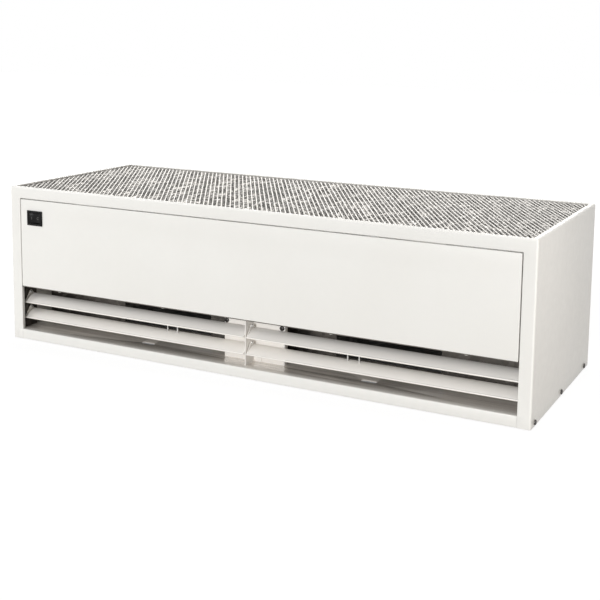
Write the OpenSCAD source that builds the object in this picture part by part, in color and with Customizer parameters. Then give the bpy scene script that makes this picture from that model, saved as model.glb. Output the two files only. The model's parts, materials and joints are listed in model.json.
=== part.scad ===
// Air curtain for a 36 inch doorway, lying on its wall face.
// X runs along the discharge slot, Y from the discharge face to the rear panel, Z up from the wall face.
// The origin is the middle of the wall face.

/* [Cabinet] */
// Width over the two end panels
cabinet_w = 914.4; // [880:0.1:1000]
// Depth from the discharge face to the rear panel
cabinet_d = 340; // [335:1:380]
// Height from the wall face to the intake rim
cabinet_h = 266; // [262:1:290]
// Thickness of the cabinet sheet
sheet = 1.5; // [1.0:0.1:2.0]
// Outer radius of the folded cabinet edges
bend_r = 3; // [2.2:0.1:4]
// Width of the front and rear flange of an end panel
flange_w = 20; // [17:1:26]
// Depth of the inward return on the front flange and the header
lip_d = 6; // [5:0.5:7]
// Height of the header's face above the access panel
header_h = 20; // [18:1:24]
// Width of the intake rim over the end panels
rim_side = 7; // [5:0.5:9]
// Width of the intake rim over the header and the rear panel
rim_end = 4; // [3:0.5:6]
// Gap around the access panel
panel_gap = 1.5; // [1:0.1:2.5]
// Depth of the folded edges of the access panel
panel_return = 12; // [10:1:14]
// Gap where one sheet slips inside another
slip = 0.2; // [0.1:0.05:0.4]

/* [Wall pan and nozzle] */
// Height of the nozzle floor above the wall face
floor_z = 17; // [15:0.5:20]
// Height of the access panel's lower edge
nozzle_top = 93.5; // [92:0.5:97]
// Depth of the foot that the pan's front lip rests on
pan_foot = 15; // [12:1:20]
// Width of the stiffening channel under the pan
channel_w = 44; // [36:1:50]
// Distance of the centre baffle behind the discharge face
baffle_y = 40; // [39:0.5:44]
// Width of the centre baffle
baffle_w = 109; // [90:1:130]
// Front edge of the vane divider behind the discharge face
divider_y = 12; // [10:0.5:15]

/* [Wall mounting slots] */
// Distance between the two slots of a row
slot_pitch_x = 400; // [380:1:420]
// Distance between the front and the rear row
slot_pitch_y = 254; // [240:1:260]
// Front row behind the discharge face
slot_y = 36; // [34:1:40]
// Length of a slot, end to end
slot_l = 26; // [20:1:32]
// Width of a slot
slot_w = 9; // [8:0.5:11]

/* [Vanes] */
// Pivot line of the vanes behind the discharge face
pivot_y = 27.4; // [27:0.1:28]
// Height of the upper vane's pivot
pivot_z = 77.4; // [76:0.1:79]
// Distance from the upper to the lower pivot
vane_pitch = 27.1; // [26:0.1:28]
// Reach of the blade in front of its pivot
blade_fore = 15.4; // [14:0.1:16]
// Reach of the blade behind its pivot
blade_aft = 8.6; // [7.5:0.1:8.8]
// Drop of the blade's front edge below its pivot
fore_drop = 15.2; // [14:0.1:16]
// Drop of the blade's rear edge below its pivot
aft_drop = 4.4; // [4:0.1:6]
// Height of the blade's camber
camber = 2.4; // [1.5:0.1:3.2]
// Thickness of the vane sheet
vane_t = 1.2; // [0.8:0.1:1.5]
// Radius of the rolled front hem
hem_r = 1.5; // [1:0.1:1.8]
// Radius of the pivot ear
ear_r = 3.4; // [3:0.1:5]
// Distance from an end panel's outer face to the vane's end
vane_end = 15; // [14.5:0.1:17]
// Half of the gap between the left and the right vanes
vane_mid = 2.3; // [2.1:0.1:4]
// Radius of a vane pivot's shank
pivot_r = 1.5; // [1.2:0.1:1.8]
// Radial clearance of the running fits
run_fit = 0.05; // [0.02:0.01:0.08]

/* [Vane link] */
// Distance of the left vanes' link from the middle of the cabinet
link_left_x = 147; // [120:1:200]
// Distance of the right vanes' link from the middle of the cabinet
link_right_x = 177; // [120:1:200]
// Distance between the two legs of a link
link_w = 19; // [14:0.5:22]
// Radius of the link's wire
wire_r = 1.25; // [1:0.05:1.5]
// Drop of the link's pin below the vane's pivot
link_drop = 15.5; // [15:0.1:16.5]
// Offset of the link's pin behind the vane's pivot
link_aft = 2.6; // [2:0.1:4]
// Width of the lug that holds the link
lug_w = 7; // [5:0.5:8]

/* [Switch] */
// Middle of the switch from the left end panel
switch_x = 52.5; // [45:0.5:70]
// Distance of the middle of the switch below the header's face
switch_drop = 31.8; // [28:0.1:60]
// Width of the switch bezel
bezel_w = 31.5; // [30.5:0.1:33]
// Height of the switch bezel
bezel_h = 25.5; // [24.5:0.1:27]
// Thickness of the bezel in front of the panel
bezel_t = 2.2; // [1.8:0.1:3]
// Depth of the switch body behind the panel
switch_d = 24; // [22:1:28]
// Tilt of the rocker to each side
rocker_tilt = 8; // [6:0.5:9]

/* [Filter] */
// Thickness of the intake filter
filter_t = 12; // [11:0.5:13]
// Clearance between the filter and the intake rim
filter_gap = 0.6; // [0.4:0.1:1.2]
// Depth of the filter's face below the rim
filter_sink = 1; // [0.5:0.1:2]
// Thickness of the filter's edge frame
filter_wall = 1; // [0.8:0.1:1.2]
// Width of the filter frame's lower lip
filter_lip = 8; // [7:0.5:10]
// Width of one opening of the expanded face
mesh_x = 38; // [36:1:60]
// Length of one opening of the expanded face
mesh_y = 64; // [60:1:80]
// Width of a strand of the expanded face
strand_w = 5; // [3:0.5:7]
// Depth of the ledge that the filter rests on
rail_ledge = 14; // [12:1:18]

/* [Motor] */
// Distance from the shaft line back to the rear panel's face
shaft_back = 135; // [132:1:138]
// Drop of the shaft line below the middle of the space under the filter
shaft_sink = 1; // [0:0.5:3]
// Radius of the motor shaft
shaft_r = 6.35; // [5:0.05:8]
// Outer radius of the motor can
can_r = 63.5; // [58:0.5:66]
// Length of the motor can
can_l = 92; // [80:1:100]
// Wall of the motor can
can_t = 2; // [1.5:0.1:3]
// Radius of the end bell's hub
hub_r = 22; // [19:0.5:25]
// Length of the end bell's hub
hub_l = 14; // [12:0.5:18]
// Radial thickness of the rubber mount ring
ring_t = 8; // [6:0.5:10]

/* [Blowers] */
// Distance of each blower from the middle of the cabinet
blower_x = 204; // [200:1:215]
// Width of a blower housing
housing_w = 178; // [160:1:190]
// Sheet of the blower housing
housing_t = 1.2; // [0.8:0.1:1.6]
// Outer radius of the wheel
wheel_r = 75; // [70:0.5:76]
// Radial depth of the wheel's blades
blade_d = 13; // [10:0.5:14]
// Number of blades of a wheel
blade_count = 32; // [20:1:44]
// Gap between the wheel and each side plate
wheel_side = 8; // [7:0.5:12]
// Smallest radius of the scroll, at its cut-off
scroll_min = 81; // [80:0.5:83]
// Lower edge of the blower outlet
outlet_low = 27; // [26:0.5:29]
// Upper edge of the blower outlet
outlet_high = 81; // [78:0.5:83]
// Distance from the shaft line forward to the outlet
outlet_reach = 105; // [102:1:110]
// Radius of the inlet in a side plate
inlet_r = 60; // [54:0.5:60]
// Width of the flange around the outlet
outlet_flange = 9; // [8:0.5:9.5]

/* [Electrical] */
// Radius of the run capacitor
cap_r = 20; // [17:0.5:22]
// Length of the run capacitor
cap_l = 80; // [60:1:100]
// Height of the supply inlet
inlet_z = 60; // [40:1:150]
// Distance of the supply inlet from the left end panel
supply_x = 57; // [45:1:100]
// Radius of the supply inlet's bore
supply_r = 8; // [6:0.5:10]
// Radius of the knock-out hole in the rear panel
knockout_r = 11.1; // [10.5:0.1:14]

/* [Screws] */
// Radius of a pan head
head_r = 4; // [3.5:0.1:4.4]
// Height of a pan head
head_h = 2.2; // [1.8:0.1:3]
// Radius of a screw's shank
screw_r = 2; // [1.5:0.1:2.2]
// Height of the case screws above the wall face
case_screw_z = 5.5; // [5.2:0.1:9]

/* [Hidden] */
$fn = 64;
tiny = 0.01;
half_w = cabinet_w / 2;
y_front = -cabinet_d / 2;
y_rear = cabinet_d / 2;
header_z = cabinet_h - header_h;
y_pivot = y_front + pivot_y;
y_baffle = y_front + baffle_y;
y_shaft = y_rear - shaft_back;
y_plenum = y_shaft - outlet_reach;
y_inner_rear = y_rear - 2 * sheet;
flange_x = half_w - flange_w;
screw_hole = screw_r + slip;
case_screw_y = [y_front + 20, -5, y_rear - 30];
rear_screw_z = [30, cabinet_h / 2 - 3, cabinet_h - 41];
rear_screw_x = half_w - 12;
panel_x = flange_x - panel_gap;
panel_top = header_z - panel_gap;
panel_screw_x = [-360, -150, 150, 360];
panel_screw_y = y_front + sheet + panel_return / 2;
baffle_screw_x = baffle_w / 2 - 4.5;
baffle_screw_z = nozzle_top - 17;
vane_x1 = half_w - vane_end;
pivot_hole = pivot_r + run_fit;
bracket_x = vane_x1 + 0.8;
filter_top = cabinet_h - filter_sink;
filter_z = filter_top - filter_t;
filter_x = half_w - rim_side - filter_gap;
filter_y = cabinet_d / 2 - max(rim_end, 2 * sheet + tiny) - filter_gap;
shaft_z = (floor_z + filter_z) / 2 - shaft_sink;
shaft_p = [y_shaft, shaft_z];
can_x = can_l / 2;
bell_t = 12;
ring_x = can_x + bell_t + 3;
ring_l = hub_l - 4;
saddle_r = hub_r + ring_t;
cradle_t = 2.5;
base_half = 55;
strap_t = 1.5;
shaft_end = blower_x + 18;
scroll_max = shaft_z - outlet_low;
cut_drop = shaft_z - outlet_high;
cut_angle = 180 + asin(cut_drop / scroll_min);
scroll_steps = 40;
housing_half = housing_w / 2;
wheel_half = housing_half - housing_t - wheel_side;
foot_w = 12;
hub_bore = shaft_r + 0.02;
wheel_hub_r = 14;
wheel_hub_l = 22;
cap_y = y_inner_rear - cap_r - 12;
cap_z = floor_z + cap_r + 1;
box_d = 44;
box_l = 90;
box_h = 62;
box_x = -half_w + sheet;
box_y = y_front + 60;
box_z = filter_z - 81;
supply_lead_z = box_z + box_h - 22;
motor_lead_z = box_z + box_h / 2 - 1;
switch_cx = -half_w + switch_x;
switch_z = header_z - switch_drop;
rocker_y = y_front + 4;
rocker_w = 21;
rocker_h = 16.6;
rocker_open = 23.8;
lead_r = 1.4;
tab_l = 8;
bolt_r = 2.5;
bearing_r = 11;
rotor_r = 34;
core_half = 30;
blade_t = 0.8;
mesh_t = 0.8;
filter_play = 0.3;

paint = [0.93, 0.93, 0.91];
galvanised = [0.70, 0.72, 0.73];
steel = [0.62, 0.63, 0.65];
alu = [0.80, 0.81, 0.82];
dark = [0.13, 0.12, 0.12];

// ---- helpers ----

module slab(x, y, z) {
    translate([x[0], y[0], z[0]]) cube([x[1] - x[0], y[1] - y[0], z[1] - z[0]]);
}

// A drawing in Y and Z, drawn out along X.
module along_x(x) {
    translate([x[0], 0, 0]) rotate([90, 0, 90]) linear_extrude(x[1] - x[0]) children();
}

// A drawing in X and Z, drawn out along Y.
module along_y(y) {
    translate([0, y[1], 0]) rotate([90, 0, 0]) linear_extrude(y[1] - y[0]) children();
}

module along_z(z) {
    translate([0, 0, z[0]]) linear_extrude(z[1] - z[0]) children();
}

// A round bar or bore along X through a point in Y and Z.
module rod_x(x, p, r) {
    translate([x[0], p[0], p[1]]) rotate([0, 90, 0]) cylinder(r = r, h = x[1] - x[0]);
}

module rod_y(y, p, r) {
    translate([p[0], y[0], p[1]]) rotate([-90, 0, 0]) cylinder(r = r, h = y[1] - y[0]);
}

module rod_z(z, p, r) {
    translate([p[0], p[1], z[0]]) cylinder(r = r, h = z[1] - z[0]);
}

module rect(x, y) {
    translate([x[0], y[0]]) square([x[1] - x[0], y[1] - y[0]]);
}

// What a rounded corner leaves over: a square less its quarter circle.
module corner_waste(r) {
    difference() {
        square(r);
        circle(r);
    }
}

// A rectangle with its two upper corners rounded.
module arch(x, y, r) {
    difference() {
        rect(x, y);
        translate([x[1] - r, y[1] - r]) corner_waste(r);
        translate([x[0] + r, y[1] - r]) mirror([1, 0]) corner_waste(r);
    }
}

// The cabinet's outer form, or its inner form when it is drawn in by a sheet.
module cabinet_form(inset) {
    r = bend_r - inset;
    x = [-half_w + inset, half_w - inset];
    y = [y_front + inset, y_rear - inset];
    base = inset > 0 ? -1 : 0;
    intersection() {
        along_z([base, cabinet_h - inset]) intersection() {
            arch(x, y, r);
            mirror([0, 1]) arch(x, -[y[1], y[0]], r);
        }
        along_x([x[0] - 1, x[1] + 1]) arch(y, [base, cabinet_h - inset], r);
        along_y([y[0] - 1, y[1] + 1]) arch(x, [base, cabinet_h - inset], r);
    }
}

// A strip of sheet along an arc from a to b that stands off its chord by rise.
module arc_strip(a, b, rise, t) {
    chord = norm(b - a);
    r = chord * chord / (8 * rise) + rise / 2;
    along = (b - a) / chord;
    up = [-along[1], along[0]];
    centre = (a + b) / 2 - up * (r - rise);
    reach = 2 * r;
    intersection() {
        translate(centre) difference() {
            circle(r + t / 2, $fn = 180);
            circle(r - t / 2, $fn = 180);
        }
        polygon([centre, centre + (a - centre) * reach / r, centre + (b - centre) * reach / r]);
    }
}

module obround(l, w) {
    square([l - w, w], center = true);
    for (side = [-1, 1]) translate([side * (l - w) / 2, 0]) circle(w / 2);
}

// A pan-head screw that points down, its head's seat at z = 0.
module screw(grip) {
    cylinder(r = head_r, h = head_h * 0.45);
    translate([0, 0, head_h * 0.45]) cylinder(r1 = head_r, r2 = head_r * 0.55, h = head_h * 0.55);
    translate([0, 0, -grip]) cylinder(r = screw_r, h = grip + tiny);
}

// Points of a smooth line through the given points.
function knot(p, i) = p[max(0, min(len(p) - 1, i))];
function spline_at(p, i, t) =
    let (a = knot(p, i - 1), b = knot(p, i), c = knot(p, i + 1), d = knot(p, i + 2))
    0.5 * (2 * b + (c - a) * t + (2 * a - 5 * b + 4 * c - d) * t * t
    + (3 * b - a - 3 * c + d) * t * t * t);
function spline(p, steps) = [
    for (i = [0:len(p) - 2]) for (k = [0:steps - 1]) spline_at(p, i, k / steps), p[len(p) - 1]
];

// A round lead of six sides along a line of points. The lead runs nowhere along ref.
module lead(route, r, ref) {
    sides = 6;
    p = spline(route, 4);
    n = len(p);
    rings = [
        for (i = [0:n - 1])
            let (
                t = p[min(i + 1, n - 1)] - p[max(i - 1, 0)],
                u = cross(t, ref) / norm(cross(t, ref)),
                v = cross(u, t) / norm(cross(u, t))
            )
            for (k = [0:sides - 1]) p[i] + r * (u * cos(k * 360 / sides) + v * sin(k * 360 / sides))
    ];
    walls = [
        for (i = [0:n - 2]) for (k = [0:sides - 1])
            let (a = i * sides + k, b = i * sides + (k + 1) % sides)
            each [[a, b, b + sides], [a, b + sides, a + sides]]
    ];
    ends = [
        for (k = [1:sides - 2]) let (last = (n - 1) * sides)
            each [[0, k + 1, k], [last, last + k, last + k + 1]]
    ];
    polyhedron([for (q = rings) q], concat(walls, ends));
}

// ---- cabinet ----

module end_panel() {
    color(paint) difference() {
        union() {
            difference() {
                intersection() {
                    cabinet_form(0);
                    slab([-half_w, -flange_x], [y_front, y_rear], [0, cabinet_h]);
                }
                cabinet_form(sheet);
                slab([-half_w + rim_side, -flange_x + 1], [y_front + rim_end, y_rear - rim_end],
                    [cabinet_h - 2 * sheet, cabinet_h + 1]);
            }
            slab([-flange_x - sheet, -flange_x], [y_front + sheet / 2, y_front + lip_d],
                [floor_z + slip, header_z + sheet]);
        }
        for (y = case_screw_y) rod_x([-half_w - 1, -half_w + 2 * sheet], [y, case_screw_z], screw_hole);
        for (z = rear_screw_z) rod_y([y_rear - 2 * sheet, y_rear + 1], [-rear_screw_x, z], screw_hole);
    }
}

module left_end_panel() {
    end_panel();
}

module right_end_panel() {
    mirror([1, 0, 0]) end_panel();
}

module rear_panel() {
    x = half_w - bend_r - slip;
    color(paint) difference() {
        union() {
            slab([-x, x], [y_rear - 2 * sheet, y_rear - sheet], [0, cabinet_h - bend_r - slip]);
            slab([-flange_x + slip, flange_x - slip], [y_rear - 2 * sheet, y_rear - sheet],
                [cabinet_h - bend_r - 1, cabinet_h]);
            slab([-flange_x + slip, flange_x - slip], [y_rear - max(rim_end, 2 * sheet), y_rear - sheet],
                [cabinet_h - sheet, cabinet_h]);
        }
        for (side = [-1, 1]) for (z = rear_screw_z)
            rod_y([y_rear - 3 * sheet, y_rear], [side * rear_screw_x, z], screw_hole);
        for (x = case_screw_x()) rod_y([y_rear - 3 * sheet, y_rear], [x, case_screw_z], screw_hole);
        rod_y([y_rear - 3 * sheet, y_rear], [-half_w + supply_x, inlet_z], knockout_r);
    }
}

function case_screw_x() = [-300, 0, 300];

module front_header() {
    color(paint) {
        intersection() {
            difference() {
                cabinet_form(0);
                cabinet_form(sheet);
            }
            slab([-flange_x, flange_x], [y_front, y_front + rim_end], [header_z, cabinet_h]);
        }
        slab([-flange_x, flange_x], [y_front + sheet / 2, y_front + lip_d], [header_z, header_z + sheet]);
    }
}

module wall_pan() {
    x = half_w - sheet - slip;
    y1 = y_inner_rear - slip;
    color(paint) difference() {
        union() {
            slab([-x, x], [y_front + bend_r + slip, y1], [floor_z - sheet, floor_z]);
            slab([-flange_x + slip, flange_x - slip], [y_front, y_front + pan_foot],
                [floor_z - sheet, floor_z]);
            slab([-flange_x + slip, flange_x - slip], [y_front, y_front + sheet], [0, floor_z]);
            slab([-flange_x + slip, flange_x - slip], [y_front, y_front + pan_foot], [0, sheet]);
            for (side = [-1, 1]) slab(side > 0 ? [x - sheet, x] : [-x, -x + sheet],
                [y_front + pan_foot, y1], [0.5, floor_z]);
            slab([-x, x], [y1 - sheet, y1], [0.5, floor_z]);
        }
        for (sx = [-1, 1]) for (row = [0, 1]) along_z([floor_z - 2 * sheet, floor_z + 1])
            translate([sx * slot_pitch_x / 2, y_front + slot_y + row * slot_pitch_y]) obround(slot_l, slot_w);
        for (side = [-1, 1]) for (y = case_screw_y)
            rod_x(side > 0 ? [x - 2 * sheet, x + 1] : [-x - 1, -x + 2 * sheet],
                [y, case_screw_z], screw_hole);
        for (x = case_screw_x()) rod_y([y1 - 2 * sheet, y1 + 1], [x, case_screw_z], screw_hole);
        for (p = floor_screws()) rod_z([floor_z - 2 * sheet, floor_z + 1], p, screw_hole);
        for (p = cradle_bolts()) rod_z([floor_z - 2 * sheet, floor_z + 1], p, bolt_r + slip);
    }
}

// A channel under the pan floor that bears on the wall below the motor.
module pan_channel() {
    x = channel_w / 2;
    y = [y_front + pan_foot + slip, y_inner_rear - 2 * slip - sheet];
    color(galvanised) difference() {
        slab([-x, x], y, [0, floor_z - sheet]);
        slab([-x + sheet, x - sheet], [y[0] - 1, y[1] + 1], [sheet, floor_z]);
    }
}

// Screws that hold the blower feet, the shroud's foot and the capacitor strap to the pan.
function floor_screws() = [
    for (side = [-1, 1]) for (edge = [-1, 1]) for (y = [y_shaft - 10, y_shaft + 30])
        [side * blower_x + edge * (housing_half + foot_w / 2), y],
    for (side = [-1, 1]) [side * 30, y_plenum + 8],
    for (side = [-1, 1]) [0, cap_y + side * (cap_r + 8)]
];

module access_panel() {
    y1 = y_front + sheet + panel_return;
    color(paint) difference() {
        union() {
            slab([-panel_x, panel_x], [y_front, y_front + sheet], [nozzle_top, panel_top]);
            slab([-panel_x, panel_x], [y_front, y1], [nozzle_top, nozzle_top + sheet]);
            slab([-panel_x, panel_x], [y_front, y1], [panel_top - sheet, panel_top]);
            for (side = [-1, 1]) slab(side > 0 ? [panel_x - sheet, panel_x] : [-panel_x, -panel_x + sheet],
                [y_front, y1], [nozzle_top, panel_top]);
            for (x = [-300, 300]) slab([x - 25, x + 25],
                [y_front + lip_d + slip, y_front + lip_d + slip + sheet], [panel_top - sheet, header_z + 3]);
        }
        slab([switch_cx - bezel_w / 2 + 2, switch_cx + bezel_w / 2 - 2], [y_front - 1, y_front + 2 * sheet],
            [switch_z - bezel_h / 2 + 1.5, switch_z + bezel_h / 2 - 1.5]);
        for (x = panel_screw_x)
            rod_z([nozzle_top - 1, nozzle_top + 2 * sheet], [x, panel_screw_y], screw_hole);
    }
}

// ---- nozzle ----

module nozzle_shroud() {
    x = half_w - sheet - slip;
    color(galvanised) difference() {
        union() {
            slab([-flange_x + slip, flange_x - slip], [y_front + sheet + slip, y_plenum],
                [nozzle_top - sheet, nozzle_top]);
            slab([-x, x], [y_front + lip_d + slip, y_plenum], [nozzle_top - sheet, nozzle_top]);
            slab([-x, x], [y_plenum - sheet, y_plenum], [floor_z, nozzle_top]);
            slab([-half_w + 60, half_w - 60], [y_plenum - sheet, y_plenum + 14], [floor_z, floor_z + sheet]);
        }
        for (side = [-1, 1]) {
            slab([side * blower_x - housing_half + housing_t, side * blower_x + housing_half - housing_t],
                [y_plenum - 2 * sheet, y_plenum + 1], [outlet_low, outlet_high]);
            slab([side * blower_x - housing_half - foot_w - 4, side * blower_x + housing_half + foot_w + 4],
                [y_plenum, y_plenum + 20], [floor_z - 1, outlet_low]);
            rod_z([floor_z - 1, floor_z + 2 * sheet], [side * 30, y_plenum + 8], screw_hole);
            for (x = flange_screws_x(side)) for (z = flange_screws_z())
                rod_y([y_plenum - 2 * sheet, y_plenum + 1], [x, z], screw_hole);
        }
        for (x = panel_screw_x)
            rod_z([nozzle_top - 2 * sheet, nozzle_top + 1], [x, panel_screw_y], screw_hole);
    }
}

function flange_screws_x(side) = [
    for (e = [-1, 1]) side * blower_x + e * (housing_half + outlet_flange / 2)
];
function flange_screws_z() = [outlet_low + 10, outlet_high - 10];

module centre_baffle() {
    x = baffle_w / 2;
    top = nozzle_top - sheet;
    color(paint) difference() {
        union() {
            slab([-x, x], [y_baffle, y_baffle + vane_t], [floor_z, top]);
            slab([-x, x], [y_baffle, y_baffle + 12], [top - vane_t, top]);
            for (side = [-1, 1]) slab(side > 0 ? [x - vane_t, x] : [-x, -x + vane_t],
                [y_baffle, y_baffle + 10], [floor_z, top]);
        }
        for (side = [-1, 1])
            rod_y([y_baffle - 1, y_baffle + 4], [side * baffle_screw_x, baffle_screw_z], screw_hole);
    }
}

module vane_divider() {
    color(paint) difference() {
        union() {
            slab([-sheet / 2, sheet / 2], [y_front + divider_y, y_baffle], [floor_z, nozzle_top - sheet]);
            slab([-sheet / 2, 14], [y_baffle - sheet, y_baffle], [floor_z, floor_z + 16]);
        }
        for (level = [0, 1]) rod_x([-2, 2], [y_pivot, pivot_z - level * vane_pitch], pivot_r);
    }
}

// Plate that carries the outer pivots, with a web and a foot on the end panel.
module vane_bracket() {
    y0 = y_pivot - 12;
    y1 = y_pivot + 16;
    color(galvanised) difference() {
        union() {
            slab([bracket_x, bracket_x + vane_t], [y0, y1], [floor_z, nozzle_top - sheet]);
            slab([bracket_x, half_w - sheet], [y1 - vane_t, y1], [floor_z, nozzle_top - sheet]);
            slab([half_w - sheet - vane_t, half_w - sheet], [y1 - vane_t, y1 + 14],
                [floor_z, nozzle_top - sheet]);
        }
        for (level = [0, 1])
            rod_x([bracket_x - 1, bracket_x + 3], [y_pivot, pivot_z - level * vane_pitch], pivot_r);
    }
}

module left_vane_bracket() {
    mirror([1, 0, 0]) vane_bracket();
}

module right_vane_bracket() {
    vane_bracket();
}

// ---- vanes ----

// Where a line from p runs on to the ear's round end, just inside its edge.
function ear_touch(p, side) =
    let (turn = atan2(p[1], p[0]) + side * acos(ear_r / norm(p)))
    0.98 * ear_r * [cos(turn), sin(turn)];

// One vane whose pivot line is at y = 0, z = 0. A lower vane has slots for the link's legs.
module vane(slotted, link_x) {
    fore = [-blade_fore, -fore_drop];
    aft = [blade_aft, -aft_drop];
    pin = [link_aft, -link_drop];
    color(paint) difference() {
        union() {
            along_x([vane_mid, vane_x1]) arc_strip(fore, aft, camber, vane_t);
            rod_x([vane_mid, vane_x1], fore, hem_r);
            for (x = [vane_mid, vane_x1 - vane_t]) along_x([x, x + vane_t]) {
                circle(ear_r);
                polygon([fore, aft, ear_touch(aft, 1), ear_touch(fore, -1)]);
            }
            along_x([link_x - lug_w / 2, link_x + lug_w / 2]) difference() {
                translate([pin[0] - 2.6, pin[1] - 2.6]) square([5.2, 2.6 + link_drop - aft_drop - 1.5]);
                translate([0, 8]) arc_strip(fore, aft, camber, 16);
            }
        }
        for (x = [vane_mid, vane_x1 - vane_t]) rod_x([x - 1, x + vane_t + 1], [0, 0], pivot_hole);
        rod_x([link_x - lug_w, link_x + lug_w], pin, wire_r + run_fit);
        if (slotted) for (side = [-1, 1])
            slab([link_x + side * link_w / 2 - wire_r - 0.6, link_x + side * link_w / 2 + wire_r + 0.6],
                [link_aft - 5.2, link_aft + 4.6], [-link_drop + 2, -aft_drop + 4]);
    }
}

module upper_vane(link_x) {
    translate([0, y_pivot, pivot_z]) vane(false, link_x);
}

module lower_vane(link_x) {
    translate([0, y_pivot, pivot_z - vane_pitch]) vane(true, link_x);
}

module right_upper_vane() {
    upper_vane(link_right_x);
}

module right_lower_vane() {
    lower_vane(link_right_x);
}

module left_upper_vane() {
    mirror([1, 0, 0]) upper_vane(link_left_x);
}

module left_lower_vane() {
    mirror([1, 0, 0]) lower_vane(link_left_x);
}

// A closed wire: two legs, and two cross bars that turn in the lugs of the vanes.
module vane_link(link_x) {
    top = [y_pivot + link_aft, pivot_z - link_drop];
    color(alu) for (side = [-1, 1]) {
        rod_z([top[1] - vane_pitch, top[1]], [link_x + side * link_w / 2, top[0]], wire_r);
        for (level = [0, 1]) translate([link_x + side * link_w / 2, top[0], top[1] - level * vane_pitch])
            sphere(wire_r);
    }
    color(alu) for (level = [0, 1])
        rod_x([link_x - link_w / 2, link_x + link_w / 2], [top[0], top[1] - level * vane_pitch], wire_r);
}

module right_vane_link() {
    vane_link(link_right_x);
}

module left_vane_link() {
    mirror([1, 0, 0]) vane_link(link_left_x);
}

// Rivets: one pair through the divider that carries both sides' ears, and one pair in each end bracket.
module vane_pivots() {
    head = 1;
    play = 0.3;
    color(alu) for (level = [0, 1]) {
        p = [y_pivot, pivot_z - level * vane_pitch];
        reach = vane_mid + vane_t + play;
        rod_x([-reach - tiny, reach + tiny], p, pivot_r);
        for (side = [-1, 1]) {
            rod_x(side > 0 ? [reach, reach + head] : [-reach - head, -reach], p, pivot_r * 1.7);
            inner = vane_x1 - vane_t - play;
            outer = bracket_x + vane_t;
            rod_x(side > 0 ? [inner - tiny, outer + tiny] : [-outer - tiny, -inner + tiny], p, pivot_r);
            rod_x(side > 0 ? [inner - head, inner] : [-inner, -inner + head], p, pivot_r * 1.7);
            rod_x(side > 0 ? [outer, outer + head] : [-outer - head, -outer], p, pivot_r * 1.7);
        }
    }
}

// ---- filter ----

module filter_rail() {
    y0 = y_front + sheet;
    color(galvanised) {
        slab([-flange_x + 2, flange_x - 2], [y0, y0 + sheet], [header_z + sheet + slip, filter_z]);
        slab([-flange_x + 2, flange_x - 2], [y0, y0 + rail_ledge], [filter_z - sheet, filter_z]);
    }
}

module front_filter_rail() {
    filter_rail();
}

module rear_filter_rail() {
    translate([0, -sheet, 0]) mirror([0, 1, 0]) filter_rail();
}

module filter_frame() {
    w = filter_wall;
    z0 = filter_z + filter_play;
    color(alu) difference() {
        slab([-filter_x, filter_x], [-filter_y, filter_y], [z0, filter_top]);
        slab([-filter_x + w, filter_x - w], [-filter_y + w, filter_y - w], [z0 + w, filter_top - w]);
        slab([-filter_x + 2 * w, filter_x - 2 * w], [-filter_y + 2 * w, filter_y - 2 * w],
            [filter_top - 2 * w, filter_top + 1]);
        slab([-filter_x + filter_lip, filter_x - filter_lip], [-filter_y + filter_lip, filter_y - filter_lip],
            [z0 - 1, z0 + 2 * w]);
    }
}

module filter_mesh() {
    x = filter_x - filter_wall - slip;
    y = filter_y - filter_wall - slip;
    z = filter_top - filter_wall;
    nx = ceil(x / mesh_x);
    ny = ceil(y / mesh_y);
    dx = (mesh_x - strand_w) / 2;
    dy = dx * mesh_y / mesh_x;
    color(alu) along_z([z - mesh_t, z]) difference() {
        rect([-x, x], [-y, y]);
        intersection() {
            rect([-x + strand_w, x - strand_w], [-y + strand_w, y - strand_w]);
            union() for (half = [0, 0.5]) for (i = [-nx:nx]) for (j = [-ny:ny])
                translate([(i + half) * mesh_x, (j + half) * mesh_y])
                    polygon([[-dx, 0], [0, -dy], [dx, 0], [0, dy]]);
        }
    }
}

module filter_pad() {
    x = filter_x - filter_wall - slip;
    y = filter_y - filter_wall - slip;
    color([0.55, 0.56, 0.57]) slab([-x, x], [-y, y],
        [filter_z + filter_play + filter_wall, filter_top - filter_wall - mesh_t]);
}

// ---- switch ----

module switch_housing() {
    body_w = bezel_w - 4.4;
    body_h = bezel_h - 3.4;
    color(dark) difference() {
        union() {
            slab([switch_cx - bezel_w / 2, switch_cx + bezel_w / 2], [y_front - bezel_t, y_front],
                [switch_z - bezel_h / 2, switch_z + bezel_h / 2]);
            slab([switch_cx - body_w / 2, switch_cx + body_w / 2], [y_front - 1, y_front + switch_d],
                [switch_z - body_h / 2, switch_z + body_h / 2]);
        }
        slab([switch_cx - rocker_open / 2, switch_cx + rocker_open / 2],
            [y_front - bezel_t - 1, y_front + 13],
            [switch_z - rocker_h / 2 - 0.4, switch_z + rocker_h / 2 + 0.4]);
        rod_z([switch_z - rocker_h / 2 - 2, switch_z + rocker_h / 2 + 2],
            [switch_cx, rocker_y], 1.5 + run_fit);
    }
}

module switch_rocker() {
    color(dark) translate([switch_cx, rocker_y, switch_z]) rotate([0, 0, rocker_tilt]) {
        translate([0, 0, -rocker_h / 2]) linear_extrude(rocker_h) polygon([
            [-rocker_w / 2, -6.6], [0, -4.2], [rocker_w / 2, -6.6], [rocker_w / 2, -1],
            [3, 4], [-3, 4], [-rocker_w / 2, -1]
        ]);
        translate([0, 0, -rocker_h / 2 - 1.6]) cylinder(r = 1.5, h = rocker_h + 3.2);
    }
}

module switch_terminals() {
    y = y_front + switch_d;
    color([0.85, 0.78, 0.55]) for (x = [-7, 0, 7])
        slab([switch_cx + x - 0.4, switch_cx + x + 0.4], [y, y + tab_l], [switch_z - 3.1, switch_z + 3.1]);
}

// ---- motor ----

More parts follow.
